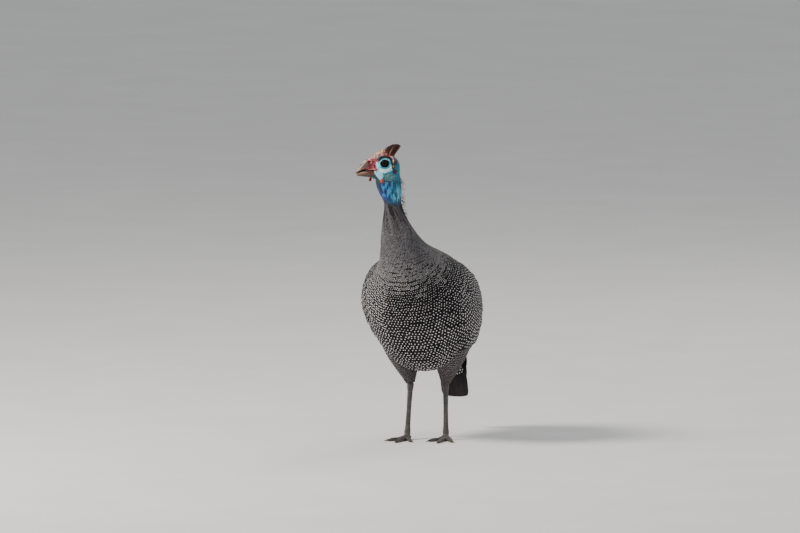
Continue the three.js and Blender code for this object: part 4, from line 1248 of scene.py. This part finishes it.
templates = dict(
    fine=makeTemplate(roundOutline, spotMarks(0.1, stretch=1.3), 6),
    middle=makeTemplate(roundOutline, spotMarks(0.114, stretch=1.1), 7),
    round=makeTemplate(roundOutline, spotMarks(0.127), 8),
    barred=makeTemplate(roundOutline, barMarks(), 6),
    wavy=makeTemplate(roundOutline, wavyMarks(), 7),
    shoulder=makeTemplate(roundOutline, spotMarks(0.14, 4, ratio=0.23, first=0.93, step=0.135), 8),
    covert=makeTemplate(roundOutline, spotMarks(0.15, 5, ratio=0.19, first=0.945, step=0.11), 8),
    flight=makeTemplate(longOutline, longMarks(0.3, 0.9, 12, (0.12, 0.5), 0.13, 0.0125, bars=(0.84,)), 7),
    primary=makeTemplate(longOutline, longMarks(0.35, 0.9, 9, (0.58,), 0.13, 0.010), 7),
    rectrix=makeTemplate(longOutline, longMarks(0.3, 0.9, 10, (-0.52, 0.0, 0.52), 0.13, 0.0125), 7),
    hair=makeTemplate(hairOutline, []),
)


plumageTints = dict(
    dark=(0.0042, 0.0042, 0.0062, 1), grey=(0.078, 0.070, 0.080, 1), brown=(0.070, 0.044, 0.028, 1),
    rusty=(0.030, 0.021, 0.017, 1), fleck=(0.26, 0.235, 0.25, 1), shaft=(0.10, 0.09, 0.085, 1),
    dullMark=(0.085, 0.080, 0.090, 1), mark=(0.80, 0.76, 0.74, 1))


def makePlumageMaterial():
    tint = plumageTints
    material, n, shader = newMaterial("plumage", 0.62, specular=0.1)
    vane = n.add("ShaderNodeUVMap", dict(uv_map="vane")).outputs["UV"]
    place = n.place()
    tone, shade, down = n.attribute("tone"), n.attribute("shade"), n.attribute("down")
    # barbs slant off the shaft
    parts = n.add("ShaderNodeSeparateXYZ", Vector=vane).outputs
    off = n.math("ABSOLUTE", parts["X"])
    slant = n.math("SUBTRACT", parts["Y"], n.math("MULTIPLY", off, 0.9))
    streak = n.add("ShaderNodeCombineXYZ", X=slant, Y=n.math("MULTIPLY", off, 0.12),
                   Z=n.math("MULTIPLY", tone, 9.0))
    barbs = n.range(n.noise(streak.outputs[0], 1900.0, 2, 0.6).outputs["Fac"], 0.32, 0.68, -1.0, 1.0)
    shaft = n.range(off, 0.0001, 0.0003, 1.0, 0.0)
    speckle = n.noise(place, 1000.0, 3, 0.7).outputs["Fac"]
    broad = n.noise(place, 24.0, 2).outputs["Fac"]
    base = n.mix(shade, tint["dark"], tint["grey"])
    base = n.mix(n.attribute("brown"), base, tint["brown"])
    base = n.mix(n.range(broad, 0.45, 0.65, 0.0, 0.35), base, tint["rusty"])
    fleck = n.math("MULTIPLY", n.range(speckle, 0.55, 0.66), n.math("MULTIPLY", shade, 0.45))
    base = n.mix(fleck, base, tint["fleck"])
    light = n.math("ADD", n.range(tone, 0, 1, 0.7, 1.25), n.math("MULTIPLY", barbs, 0.26))
    # each feather grows darker towards its root: painted shade where it slips under the feathers above
    light = n.math("MULTIPLY", light, n.range(down, 0.2, 1.0, 0.6, 1.15))
    base = toned(n, base, light)
    base = n.mix(n.math("MULTIPLY", shaft, 0.3), base, tint["shaft"])
    mark = n.mix(n.attribute("pale"), tint["dullMark"], tint["mark"])
    markLight = n.math("ADD", n.range(tone, 0, 1, 0.78, 1.05), n.math("MULTIPLY", barbs, 0.1))
    mark = toned(n, mark, markLight)
    n.put(shader, "Base Color", n.mix(n.attribute("spot"), base, mark))
    addBump(n, shader, barbs, 0.35, 0.0002)
    return material


plumageMaterial = makePlumageMaterial()
facesPerPiece = 190000


def finishPlumage(name, pieces, replaced=()):
    # joins what was laid into coat pieces that each stay small enough
    number = 0
    while pieces:
        group, total = [], 0
        while pieces and (not group or total + len(pieces[0].data.polygons) < facesPerPiece):
            total += len(pieces[0].data.polygons)
            group.append(pieces.pop(0))
        number += 1
        piece = joinPieces(name if number == 1 and not pieces else "%s%d" % (name, number), group)
        piece.data.materials.append(plumageMaterial)
        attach(piece, "root")
        if number == 1 and replaced:
            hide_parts(*replaced)
        print("guinea fowl:", piece.name, total)


def bodyUnwrap(s, angle):
    shares = np.stack([np.mod(angle, 360) / 360, np.asarray(s) / lastStation], -1)
    return 0.01 + 0.97 * shares


# bands of the body: along the stations, how many round, template, length in row widths, lifts, closeness
plumageForm = [
    dict(start=1.95, end=3.0, around=56, kind="hair", long=4.2, low=-1.3, high=0.5, close=0.5),
    dict(start=2.6, end=3.7, around=30, kind="barred", long=2.5, low=-1.0, high=0.5, close=0.6),
    dict(start=3.7, end=4.8, around=40, kind="barred", long=2.2, low=-1.0, high=0.6, close=0.68),
    dict(start=4.8, end=5.7, around=50, kind="barred", long=2.0, low=-1.0, high=0.7, close=0.76),
    dict(start=5.7, end=10.5, around=50, kind=None, long=1.95, low=-1.2, high=0.95, close=0.85),
    dict(start=10.5, end=11.7, around=38, kind=None, long=1.95, low=-1.2, high=0.9, close=0.85),
    dict(start=11.7, end=13.1, around=28, kind=None, long=2.0, low=-1.2, high=0.9, close=0.85),
]


def ringLength(s, surface=bareSurface):
    points = surface(np.full(48, s), degreesRound(48))
    return np.linalg.norm(points - np.roll(points, 1, 0), axis=1).sum()


def rowLength(s):
    # how long one step of the stations is at s
    turns = degreesRound(24)
    step = bareSurface(np.full(24, s + 0.05), turns) - bareSurface(np.full(24, s - 0.05), turns)
    return np.linalg.norm(step, axis=1).mean() / 0.1


# millimetres to a share of the wing across, before and behind it, then where and how much feathers rise
wingEdge = dict(wide=70, front=230, rear=120, reach=12.0, rise=2.6)
underWing = dict(u=(0.13, 0.86), v=(0.14, 0.86))  # where the body has no feathers


def wingRise(s, angle):
    w = wingEdge
    u, v = wingCover(s, angle)
    edge = np.maximum(np.maximum(-v, v - 1) * w["wide"], np.maximum(-u * w["front"], (u - 1) * w["rear"]))
    return w["rise"] * smoothStep(1 - edge / w["reach"]) * smoothStep((u + 0.1) / 0.12)


def isUnderWing(s, angle):
    u, v = wingCover(s, angle)
    (uLow, uHigh), (vLow, vHigh) = underWing["u"], underWing["v"]
    return (u > uLow) & (u < uHigh) & (v > vLow) & (v < vHigh)


def bandRows(band):
    places, widths = [], []
    s, k = band["start"], 0
    while s < band["end"]:
        wide = ringLength(s) / band["around"]
        for i in range(band["around"]):
            places.append((s + dice.uniform(-0.11, 0.11) * wide / rowLength(s),
                           (i + 0.5 * (k % 2) + dice.uniform(-0.07, 0.07)) * 360 / band["around"]))
            widths.append(wide)
        s += band["close"] * wide / rowLength(s)
        k += 1
    places = np.array(places)
    return places[:, 0], places[:, 1], np.array(widths)


def bodyLooks(s, angle, count):
    # grey barred neck, dark nape and upper back, bold marks on the sides and belly
    rear = 0.5 + 0.5 * np.cos(np.radians(angle))
    onNeck = smoothStep((5.9 - s) / 1.6)
    shade = onNeck * (0.42 - 0.4 * smoothStep(rear * 1.6 - 0.5)) + 0.06
    shade *= 1 - 0.6 * smoothStep((3.0 - s) / 0.8)
    pale = 1 - 0.62 * onNeck - (0.42 - 0.2 * onNeck) * smoothStep(rear * 2.2 - 1.1) * smoothStep((9 - s) / 2)
    pale *= 1 - 0.45 * smoothStep((3.4 - s) / 0.8)
    # the top of the neck is streaked
    turns = np.radians(angle)
    streak = roughNoise(np.stack([3.2 * np.cos(turns), 3.2 * np.sin(turns), 0.5 * s], -1), 1.3, 71)
    shade += smoothStep((4.2 - s) / 1.2) * np.clip(streak * 2.4, -0.35, 0.9) * (1 - 0.7 * rear ** 2)
    return np.clip(shade + spread.normal(0, 0.03, count), 0, 1), np.clip(pale, 0.12, 1)


def bodyKinds(s, angle, count):
    # which size of mark a feather of the body has
    rear = 0.5 + 0.5 * np.cos(np.radians(angle))
    size = smoothStep((s - 5.5) / 3.6) * (1 - 0.55 * smoothStep(rear * 2 - 1)) + spread.normal(0, 0.07, count)
    kinds = np.where(size < 0.34, "fine", np.where(size < 0.7, "middle", "round"))
    # on the right of the breast wavy bars take the place of spots
    off = np.mod(angle, 360) - 180
    wavy = smoothStep((off - 14) / 16) * smoothStep((84 - off) / 16) * smoothStep((8.4 - s) / 1.2)
    kinds = np.where(wavy + spread.normal(0, 0.1, count) > 0.5, "wavy", kinds)
    # the neck's bars give way to spots little by little
    return np.where(smoothStep((6.7 - s) / 1.0) > spread.uniform(0, 1, count), "barred", kinds)


def layBand(band, number):
    s, a, wide = bandRows(band)
    if band["kind"] == "hair":
        turns = np.radians(a)
        s = s + 0.5 * roughNoise(np.stack([4 * np.cos(turns), 4 * np.sin(turns), 0 * a], -1), 1.0, 73)
    keep = ~isUnderWing(s, a)
    s, a, wide = s[keep], a[keep], wide[keep]
    count = len(s)
    length = wide * vaneForm["long"] * band["long"] * spread.uniform(0.94, 1.06, count)
    _, ts, ta, _ = surfaceFrame(s, a)
    ahead = unit(ts) + unit(ta) * np.tan(np.radians(spread.normal(0, 3.0, count)))[:, None]
    s1, a1 = offsetOnSurface(s, a, ahead, np.zeros(count), length)
    grow = np.clip(wide / 8, 0.45, 1.1)
    shade, pale = bodyLooks(s, a, count)
    rows = featherRows(
        bodyUnwrap(s, a), s0=s, a0=a, s1=s1, a1=a1,
        half=wide * vaneForm["half"] * spread.uniform(0.95, 1.05, count),
        low=band["low"] * grow + wingRise(s, a) + spread.uniform(-0.12, 0.12, count),
        high=band["high"] * grow + wingRise(s1, a1) + spread.uniform(-0.2, 0.35, count),
        camber=0.32 * grow, roll=spread.uniform(-0.15, 0.15, count),
        tone=spread.uniform(0, 1, count), shade=shade, pale=pale)
    kinds = np.full(count, band["kind"]) if band["kind"] else bodyKinds(s, a, count)
    made = []
    for kind in sorted(set(kinds)):
        chosen = np.flatnonzero(kinds == kind)
        limit = facesPerPiece // len(templates[kind]["faces"])
        for first in range(0, len(chosen), limit):
            part = {key: value[chosen[first:first + limit]] for key, value in rows.items()}
            label = "band%d%s%d" % (number, kind, first)
            made.append(makeFeathers(label, kind, bareSurface, part, bakeForm["wide"]))
    return made


for name, bands in (("neckFeathers", plumageForm[:4]), ("breastFeathers", plumageForm[4:5]),
                    ("rumpFeathers", plumageForm[5:])):
    finishPlumage(name, [piece for i, band in enumerate(bands) for piece in layBand(band, i)])

# wings: tiers of coverts over the flight feathers, with root, tip, top and foot in shares of the wing
wingColumns = ("kind", "count", "root", "tip", "top", "foot", "half", "low", "high", "roll")
wingTiers = [dict(zip(wingColumns, row)) for row in (
    ("primary", 8, 0.58, 0.99, 0.42, 0.92, 6.4, 1.2, 3.4, 1.0),
    ("flight", 12, 0.44, 0.86, 0.10, 0.90, 7.6, 1.4, 4.4, 1.1),
    ("covert", 12, 0.36, 0.61, 0.09, 0.91, 7.6, 1.2, 5.2, 0.7),
    ("covert", 12, 0.30, 0.50, 0.08, 0.92, 7.0, 1.0, 5.2, 0.5),
    ("shoulder", 12, 0.24, 0.41, 0.07, 0.93, 6.4, 0.8, 5.1, 0.4),
    ("shoulder", 12, 0.18, 0.33, 0.08, 0.92, 6.0, 0.6, 5.0, 0.3),
    ("shoulder", 11, 0.12, 0.26, 0.10, 0.90, 5.8, 0.4, 4.8, 0.2),
    ("shoulder", 10, 0.06, 0.19, 0.13, 0.87, 5.6, 0.0, 4.4, 0.2),
    ("shoulder", 8, 0.00, 0.13, 0.18, 0.82, 5.6, -0.8, 3.8, 0.2),
    ("shoulder", 6, -0.05, 0.075, 0.26, 0.74, 5.6, -1.6, 3.0, 0.1))]
wingLooks = dict(primary=dict(shade=0.45, pale=0.7, brown=0.85), others=dict(shade=0.16, pale=0.95))


def layWing(side):
    made = []
    for number, tier in enumerate(wingTiers):
        count, kind = tier["count"], tier["kind"]
        isPrimary = kind == "primary"
        t = np.linspace(0, 1, count)
        v = tier["top"] + (tier["foot"] - tier["top"]) * t
        if kind in ("shoulder", "covert"):
            v = v + (0.25 if number % 2 else -0.25) * (v[1] - v[0]) + spread.uniform(-0.007, 0.007, count)
        # the rows of flight feathers end in a slant, the innermost reaching furthest
        slant = 0.05 * (t - 0.5) if kind == "flight" else 0
        bend = 0 if isPrimary else 0.022 * np.cos(2 * np.pi * (t - 0.4))
        u0 = tier["root"] + spread.uniform(-0.005, 0.005, count) + bend
        u1 = tier["tip"] - slant + spread.uniform(-0.009, 0.009, count) + bend
        if isPrimary:
            u1 = tier["tip"] - 0.13 * (1 - t)
        s0, a0 = wingPlace(u0, v)
        s1, a1 = wingPlace(u1, v + spread.uniform(-0.008, 0.008, count))
        looks = wingLooks["primary" if isPrimary else "others"]
        rows = featherRows(
            bodyUnwrap(s0, side * a0), s0=s0, a0=side * a0, s1=s1, a1=side * a1, side=side,
            half=tier["half"] * spread.uniform(0.96, 1.04, count),
            low=tier["low"], high=tier["high"] + spread.uniform(-0.15, 0.25, count),
            camber=0.7, roll=tier["roll"], tone=spread.uniform(0.1, 0.9, count), **looks)
        made.append(makeFeathers("tier%d" % number, kind, bareSurface, rows, bakeForm["wide"]))
    return made


finishPlumage("wingLeft", layWing(1), ["wing_left"])
finishPlumage("wingRight", layWing(-1), ["wing_right"])

# tail: flat fans of feathers that droop at their edges, above and below the core
tailColumns = ("kind", "above", "count", "root", "tip", "rootSpread", "tipSpread", "half", "low", "high")
tailTiers = [dict(zip(tailColumns, row)) for row in (
    ("rectrix", 1, 14, 14, 106, 1.9, 2.75, 6.6, 0.4, 1.0),
    ("covert", 1, 9, 24, 78, 3.2, 4.1, 6.0, 7.5, 2.9),
    ("covert", 1, 9, 12, 60, 3.2, 4.2, 6.0, 11.5, 5.0),
    ("covert", -1, 7, 20, 66, 3.8, 4.4, 6.0, 8.5, 2.6),
    ("covert", -1, 7, 8, 50, 4.2, 5.0, 6.0, 12.0, 4.8))]
tailRing = dict(start=-8.0, end=34.0, step=5.2, around=28, long=19.0, half=4.4, low=-0.8, high=2.0)


def tailSurface(above):
    # the fan's own sheet, seen from above or below: its edges droop
    root, downward, backward = tailAxes()

    def place(s, across):
        s, across = np.broadcast_arrays(np.asarray(s, float), np.asarray(across, float))
        droop = -0.006 * across ** 2 * above
        return (root + downward * (s * tailForm["step"])[..., None] + xAxis * (across * above)[..., None]
                + backward * droop[..., None] * above)
    return place


def layTail():
    made = []
    for number, tier in enumerate(tailTiers):
        count = tier["count"]
        i = np.arange(count) - (count - 1) / 2
        outer = np.abs(i) / max(i)
        rows = featherRows(
            np.stack([0.5 + i * 0.012, np.full(count, 0.945 + 0.006 * number)], -1),
            s0=tier["root"] / tailForm["step"], s1=(tier["tip"] - 3.5 * outer ** 2) / tailForm["step"],
            a0=i * tier["rootSpread"], a1=i * tier["tipSpread"],
            half=tier["half"] * spread.uniform(0.97, 1.03, count),
            low=tier["low"], high=tier["high"] - 1.4 * outer, camber=0.7, roll=-np.sign(i) * 0.5,
            tone=spread.uniform(0.1, 0.9, count), shade=0.14, pale=0.9)
        sheet = tailSurface(tier["above"])
        made.append(makeFeathers("fan%d" % number, tier["kind"], sheet, rows, bakeForm["wide"]))
    return made


def tailTube(s, angle):
    # the tail's core as a tube: s in steps down from the root, angle 0 above
    s, angle = np.broadcast_arrays(np.asarray(s, float), np.asarray(angle, float))
    core, a = np.array(tailCore, float), np.radians(angle)
    down = s * tailForm["step"]
    thick = np.interp(down, core[:, 0], core[:, 1]) * tailForm["thick"] - 1.0
    wide = np.interp(down, core[:, 0], core[:, 2]) * tailForm["wide"] - 1.5
    backward = tailAxes()[2]
    return tailSurface(1)(s, 0 * s) + (backward * (thick * np.cos(a))[..., None]
                                       + xAxis * (wide * np.sin(a))[..., None])


def layTailRings():
    form = tailRing
    places = []
    for k, down in enumerate(np.arange(form["start"], form["end"], form["step"])):
        for i in range(form["around"]):
            turn = (i + 0.5 * (k % 2) + dice.uniform(-0.08, 0.08)) * 360 / form["around"]
            places.append((down / tailForm["step"], turn))
    s, a = np.array(places).T
    count = len(s)
    s1 = s + form["long"] * spread.uniform(0.92, 1.06, count) / tailForm["step"]
    rows = featherRows(
        np.stack([0.1 + 0.8 * np.mod(a, 360) / 360, 0.915 + 0.01 * s], -1),
        s0=s, a0=a, s1=s1, a1=a, half=form["half"] * spread.uniform(0.95, 1.05, count),
        low=form["low"], high=form["high"] + spread.uniform(-0.2, 0.4, count),
        camber=0.4, roll=spread.uniform(-0.1, 0.1, count), tone=spread.uniform(0, 1, count),
        shade=0.12, pale=0.9)
    return [makeFeathers("ring", "middle", tailTube, rows, bakeForm["small"])]


finishPlumage("tailFeathers", layTail() + layTailRings(), ["tail"])

thighPlumage = dict(start=0.3, end=3.95, around=34, steps=4, long=2.1, half=0.8, close=0.85, low=-0.8,
                    high=0.9)


def layThigh(side):
    form = thighPlumage
    hip, hock, _ = legPlaces(side)

    def surface(s, angle):
        return limbPoint(hip, hock, thighRows, np.asarray(s) / form["steps"], -np.asarray(angle))

    places, widths = [], []
    s, k = form["start"], 0
    stepLength = np.linalg.norm(hock - hip) / form["steps"]
    while s < form["end"]:
        around = max(12, int(form["around"] * min(1.0, 1.6 - 0.3 * s)))
        wide = ringLength(s, surface) / around
        for i in range(around):
            places.append((s, (i + 0.5 * (k % 2) + dice.uniform(-0.06, 0.06)) * 360 / around))
            widths.append(wide)
        s += form["close"] * wide / stepLength
        k += 1
    places, wide = np.array(places), np.array(widths)
    s, a = places.T
    count = len(s)
    _, ts, _, _ = surfaceFrame(s, a, surface)
    s1, a1 = offsetOnSurface(s, a, ts, np.zeros(count), wide * form["close"] * form["long"], surface)
    rows = featherRows(
        np.stack([0.26 + 0.23 * side + 0.0006 * (np.mod(a, 360) - 180), 0.02 + 0.025 * s], -1),
        s0=s, a0=a, s1=np.minimum(s1, form["steps"]), a1=a1,
        half=wide * form["half"] * spread.uniform(0.95, 1.05, count),
        low=form["low"], high=form["high"] + spread.uniform(-0.2, 0.3, count),
        camber=0.3, roll=spread.uniform(-0.1, 0.1, count), tone=spread.uniform(0, 1, count),
        shade=np.clip(0.15 + 0.09 * s, 0, 0.6), pale=np.clip(1.0 - 0.17 * s, 0.2, 1), brown=0.15)
    return [makeFeathers("thigh%d" % side, "fine", surface, rows, bakeForm["small"])]


for name, side in (("Left", 1), ("Right", -1)):
    finishPlumage("thighFeathers" + name, layThigh(side))

# nape: sparse black bristles that stand back from the bare skin
bristleForm = dict(count=84, start=0.3, end=3.1, spread=30, long=10.5, half=0.24, stand=9.0)


def layBristles():
    form = bristleForm
    count = form["count"]
    s = spread.uniform(form["start"], form["end"], count)
    a = spread.normal(0, form["spread"] / 2, count)
    length = form["long"] * spread.uniform(0.6, 1.15, count)
    _, ts, _, _ = surfaceFrame(s, a)
    s1, a1 = offsetOnSurface(s, a, ts, spread.normal(0, 1.2, count), length * 0.75)
    rows = featherRows(
        bodyUnwrap(s, a), s0=s, a0=a, s1=s1, a1=a1, half=form["half"],
        low=-0.6, high=form["stand"] * spread.uniform(0.35, 1.1, count),
        camber=0.35, roll=0.0, tone=spread.uniform(0, 0.5, count), shade=0.0, pale=0.0)
    return [makeFeathers("bristle", "hair", bareSurface, rows, bakeForm["small"])]


finishPlumage("napeBristles", layBristles())
print("guinea fowl: plumage laid")

# legs and feet

shankRows = [  # share of the way, half depth, half width
    (0, 5.8, 5.2), (0.06, 6.4, 5.6), (0.16, 5, 4.3), (0.5, 4.2, 3.7), (0.84, 4.6, 4.1), (0.96, 5.6, 5.2),
    (1, 5.2, 5)]
toeForm = dict(  # turn outwards in degrees, length, half thickness at the root
    inner=(-26, 36, 4.2), middle=(3, 48, 4.6), outer=(33, 38, 4.2), hind=(172, 13, 3.4))
footForm = dict(tip=0.62, sunk=0.9, voxel=0.0006, palm=(7, 8.5, 5.2), palmBack=2, palmHeight=4.4)
scuteForm = dict(shank=5.4, toe=3.6, small=2.2, around=4.6)  # lengths, and the shank's usual radius
legTints = dict(ground=(0.055, 0.048, 0.044), pale=(0.095, 0.080, 0.070), edge=(0.014, 0.012, 0.012),
                sole=(0.11, 0.085, 0.062), hock=(0.028, 0.024, 0.024))


def toeAxes(side, toe):
    # the way along a toe and the way across it
    turn = math.radians(side * toe[0])
    return np.array((math.sin(turn), -math.cos(turn), 0)), np.array((math.cos(turn), math.sin(turn), 0))


def toeHalf(toe, t):
    return toe[2] * (1 + (footForm["tip"] - 1) * np.clip(t, 0, 1))


def addToe(bm, side, ankle, toe):
    fore, across = toeAxes(side, toe)
    rings = []
    for t in np.linspace(0, 1, 22):
        # pads swell under the joints
        half = toeHalf(toe, t) * (1.02 + 0.08 * math.sin(t * math.pi * toe[1] / 12))
        centre = np.array((ankle[0], ankle[1], half - footForm["sunk"])) + fore * toe[1] * t
        rings.append(toScene(ellipseRing(centre, zAxis, half, across, half * 0.95, 20)))
    addRings(bm, rings)


def scutes(position, size):
    # saw-tooth steps, and nearness to the groove at each lower edge
    phase = np.mod(position / size, 1)
    return phase - 0.5, bell(np.minimum(phase, 1 - phase), 0.09)


def legScutes(points, normals, side, hock, ankle):
    # how far each point is raised, how near a scute's edge it is, how much it is sole, how far down it is
    form = scuteForm
    way = ankle - hock
    length = np.linalg.norm(way)
    down = way / length
    along = (points - hock) @ way / (length * length) * length
    aside = points - hock - np.outer((points - hock) @ down, down)
    turn = np.arctan2(aside[:, 0], -aside[:, 1])
    onShank = smoothStep((points[:, 2] - 9) / 4)
    # two rows of broad plates in front, small scales behind
    half = np.where(turn > 0, 0.0, 0.5)
    front = smoothStep((1.15 - np.abs(turn)) / 0.25)
    step, groove = scutes(along + half * form["shank"], form["shank"])
    groove = np.maximum(groove, bell(turn * form["around"], 0.5))
    plates = onShank * front * (0.34 * step - 0.3 * groove)
    edges = onShank * front * groove
    around = turn * form["around"]
    _, cracks = scutes(along + 1.1 * (np.floor(around / form["small"]) % 2), form["small"])
    cracks = np.maximum(cracks, scutes(around, form["small"])[1])
    plates -= onShank * (1 - front) * 0.2 * cracks
    edges = np.maximum(edges, onShank * (1 - front) * cracks * 0.8)
    # one row of plates on each toe
    upward = smoothStep((normals[:, 2] - 0.1) / 0.4)
    nearest = np.full(len(points), 1e9)
    flat = points[:, :2] - ankle[:2]
    for toe in toeForm.values():
        fore = toeAxes(side, toe)[0][:2]
        ahead = flat @ fore
        off = np.linalg.norm(flat - np.outer(ahead, fore), axis=1)
        mine = (off < nearest) & (ahead > 5)
        nearest = np.where(mine, off, nearest)
        step, groove = scutes(ahead, form["toe"])
        weight = (1 - onShank) * upward * mine * (off < 6)
        plates = np.where(weight > 0, weight * (0.26 * step - 0.24 * groove), plates)
        edges = np.where(weight > 0, weight * groove, edges)
    sole = (1 - onShank) * (1 - upward)
    plates += sole * 0.18 * roughNoise(points, 1.1, 61)
    return plates, edges, sole, along


def makeLeg(name, side, material, shankNode, footNode):
    _, hock, ankle = legPlaces(side)
    form, tint = footForm, legTints
    bm = bmesh.new()
    addRings(bm, [toScene(limbPoint(hock, ankle, shankRows, t, degreesRound(28)))
                  for t in np.linspace(0, 1, 24)])
    verts, local = unitBall(bm, 24, 14)
    middle = (ankle[0], ankle[1] - form["palmBack"], form["palmHeight"])
    placeVerts(verts, toScene(local * form["palm"] + middle))
    for toe in toeForm.values():
        addToe(bm, side, ankle, toe)
    outwards(bm)
    piece = remeshed(fromBmesh(name, bm), form["voxel"], 2)
    mesh = piece.data
    points = getPoints(mesh) * 1000 - shift
    normals = getNormals(mesh)
    plates, edges, sole, along = legScutes(points, normals, side, hock, ankle)
    moved = points + normals * plates[:, None]
    moved[:, 2] = np.maximum(moved[:, 2], 0)
    setPoints(mesh, toScene(moved))
    paint = Paint(len(points), tint["ground"])
    paint.lay(smoothStep((roughNoise(points, 0.12, 63) + 0.1) / 0.3) * 0.6, tint["pale"])
    paint.lay(edges * 0.8, tint["edge"])
    paint.lay(sole * 0.6, tint["sole"])
    paint.lay(smoothStep((6 - along) / 5) * 0.6, tint["hock"])
    paint.store(mesh)
    finishPiece(piece, material, "leg_scales", shankNode, footNode)
    print("guinea fowl:", name, len(mesh.polygons))


legMaterial = makeHornMaterial("legScales", 0.5, 0.05)
makeLeg("legLeft", 1, legMaterial, "shank_left", "foot_left")
makeLeg("legRight", -1, legMaterial, "shank_right", "foot_right")

clawForm = dict(length=10.0, gap=0.4, tucked=1.2, thick=0.72, flat=0.75)
clawTints = dict(ground=(0.035, 0.027, 0.022), pale=(0.085, 0.062, 0.045), tip=(0.14, 0.11, 0.08))


def makeClaws(name, side, material, nodeEnd):
    form, tint = clawForm, clawTints
    ankle = legPlaces(side)[2]
    bm = bmesh.new()
    turn = np.linspace(0, 2 * np.pi, 16, endpoint=False)
    up = np.cos(turn)
    for toe in toeForm.values():
        fore, across = toeAxes(side, toe)
        thick = toe[2] * footForm["tip"] * form["thick"]
        rings = []
        for t in np.linspace(0, 1, 14):
            half = thick * (1 - 0.88 * t ** 1.2)
            height = thick + 0.5 - 1.6 * t * t + half * 0.35 * t
            reach = toe[1] + form["gap"] - form["tucked"] + (form["length"] + form["tucked"]) * t
            wide = half * form["flat"] * np.sin(turn) * (1 - 0.25 * (up < 0))
            rings.append(toScene(np.array((ankle[0], ankle[1], height)) + fore * reach
                                 + zAxis * (half * up)[:, None] + across * wide[:, None]))
        addRings(bm, rings)
    outwards(bm)
    piece = subdivided(fromBmesh(name, bm), 1)
    points = getPoints(piece.data) * 1000 - shift
    reach = np.linalg.norm(points[:, :2] - ankle[:2], axis=1)
    paint = Paint(len(points), tint["ground"])
    paint.lay(smoothStep((roughNoise(points, 0.7, 71) + 0.1) / 0.3) * 0.6, tint["pale"])
    paint.lay(smoothStep((reach - 52) / 6) * 0.4, tint["tip"])
    paint.store(piece.data)
    finishPiece(piece, material, "claw_horn", *["claw_%s_%s" % (toe, nodeEnd) for toe in toeForm])


clawMaterial = makeHornMaterial("clawHorn", 0.35, 0.2)
makeClaws("clawsLeft", 1, clawMaterial, "left")
makeClaws("clawsRight", -1, clawMaterial, "right")
print("guinea fowl: legs")

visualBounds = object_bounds()


def plainNumbers(value):
    return [plainNumbers(v) for v in value] if hasattr(value, "__len__") else round(float(value), 5)


dict(solids=plainNumbers(cadBounds), dressed=plainNumbers(visualBounds))
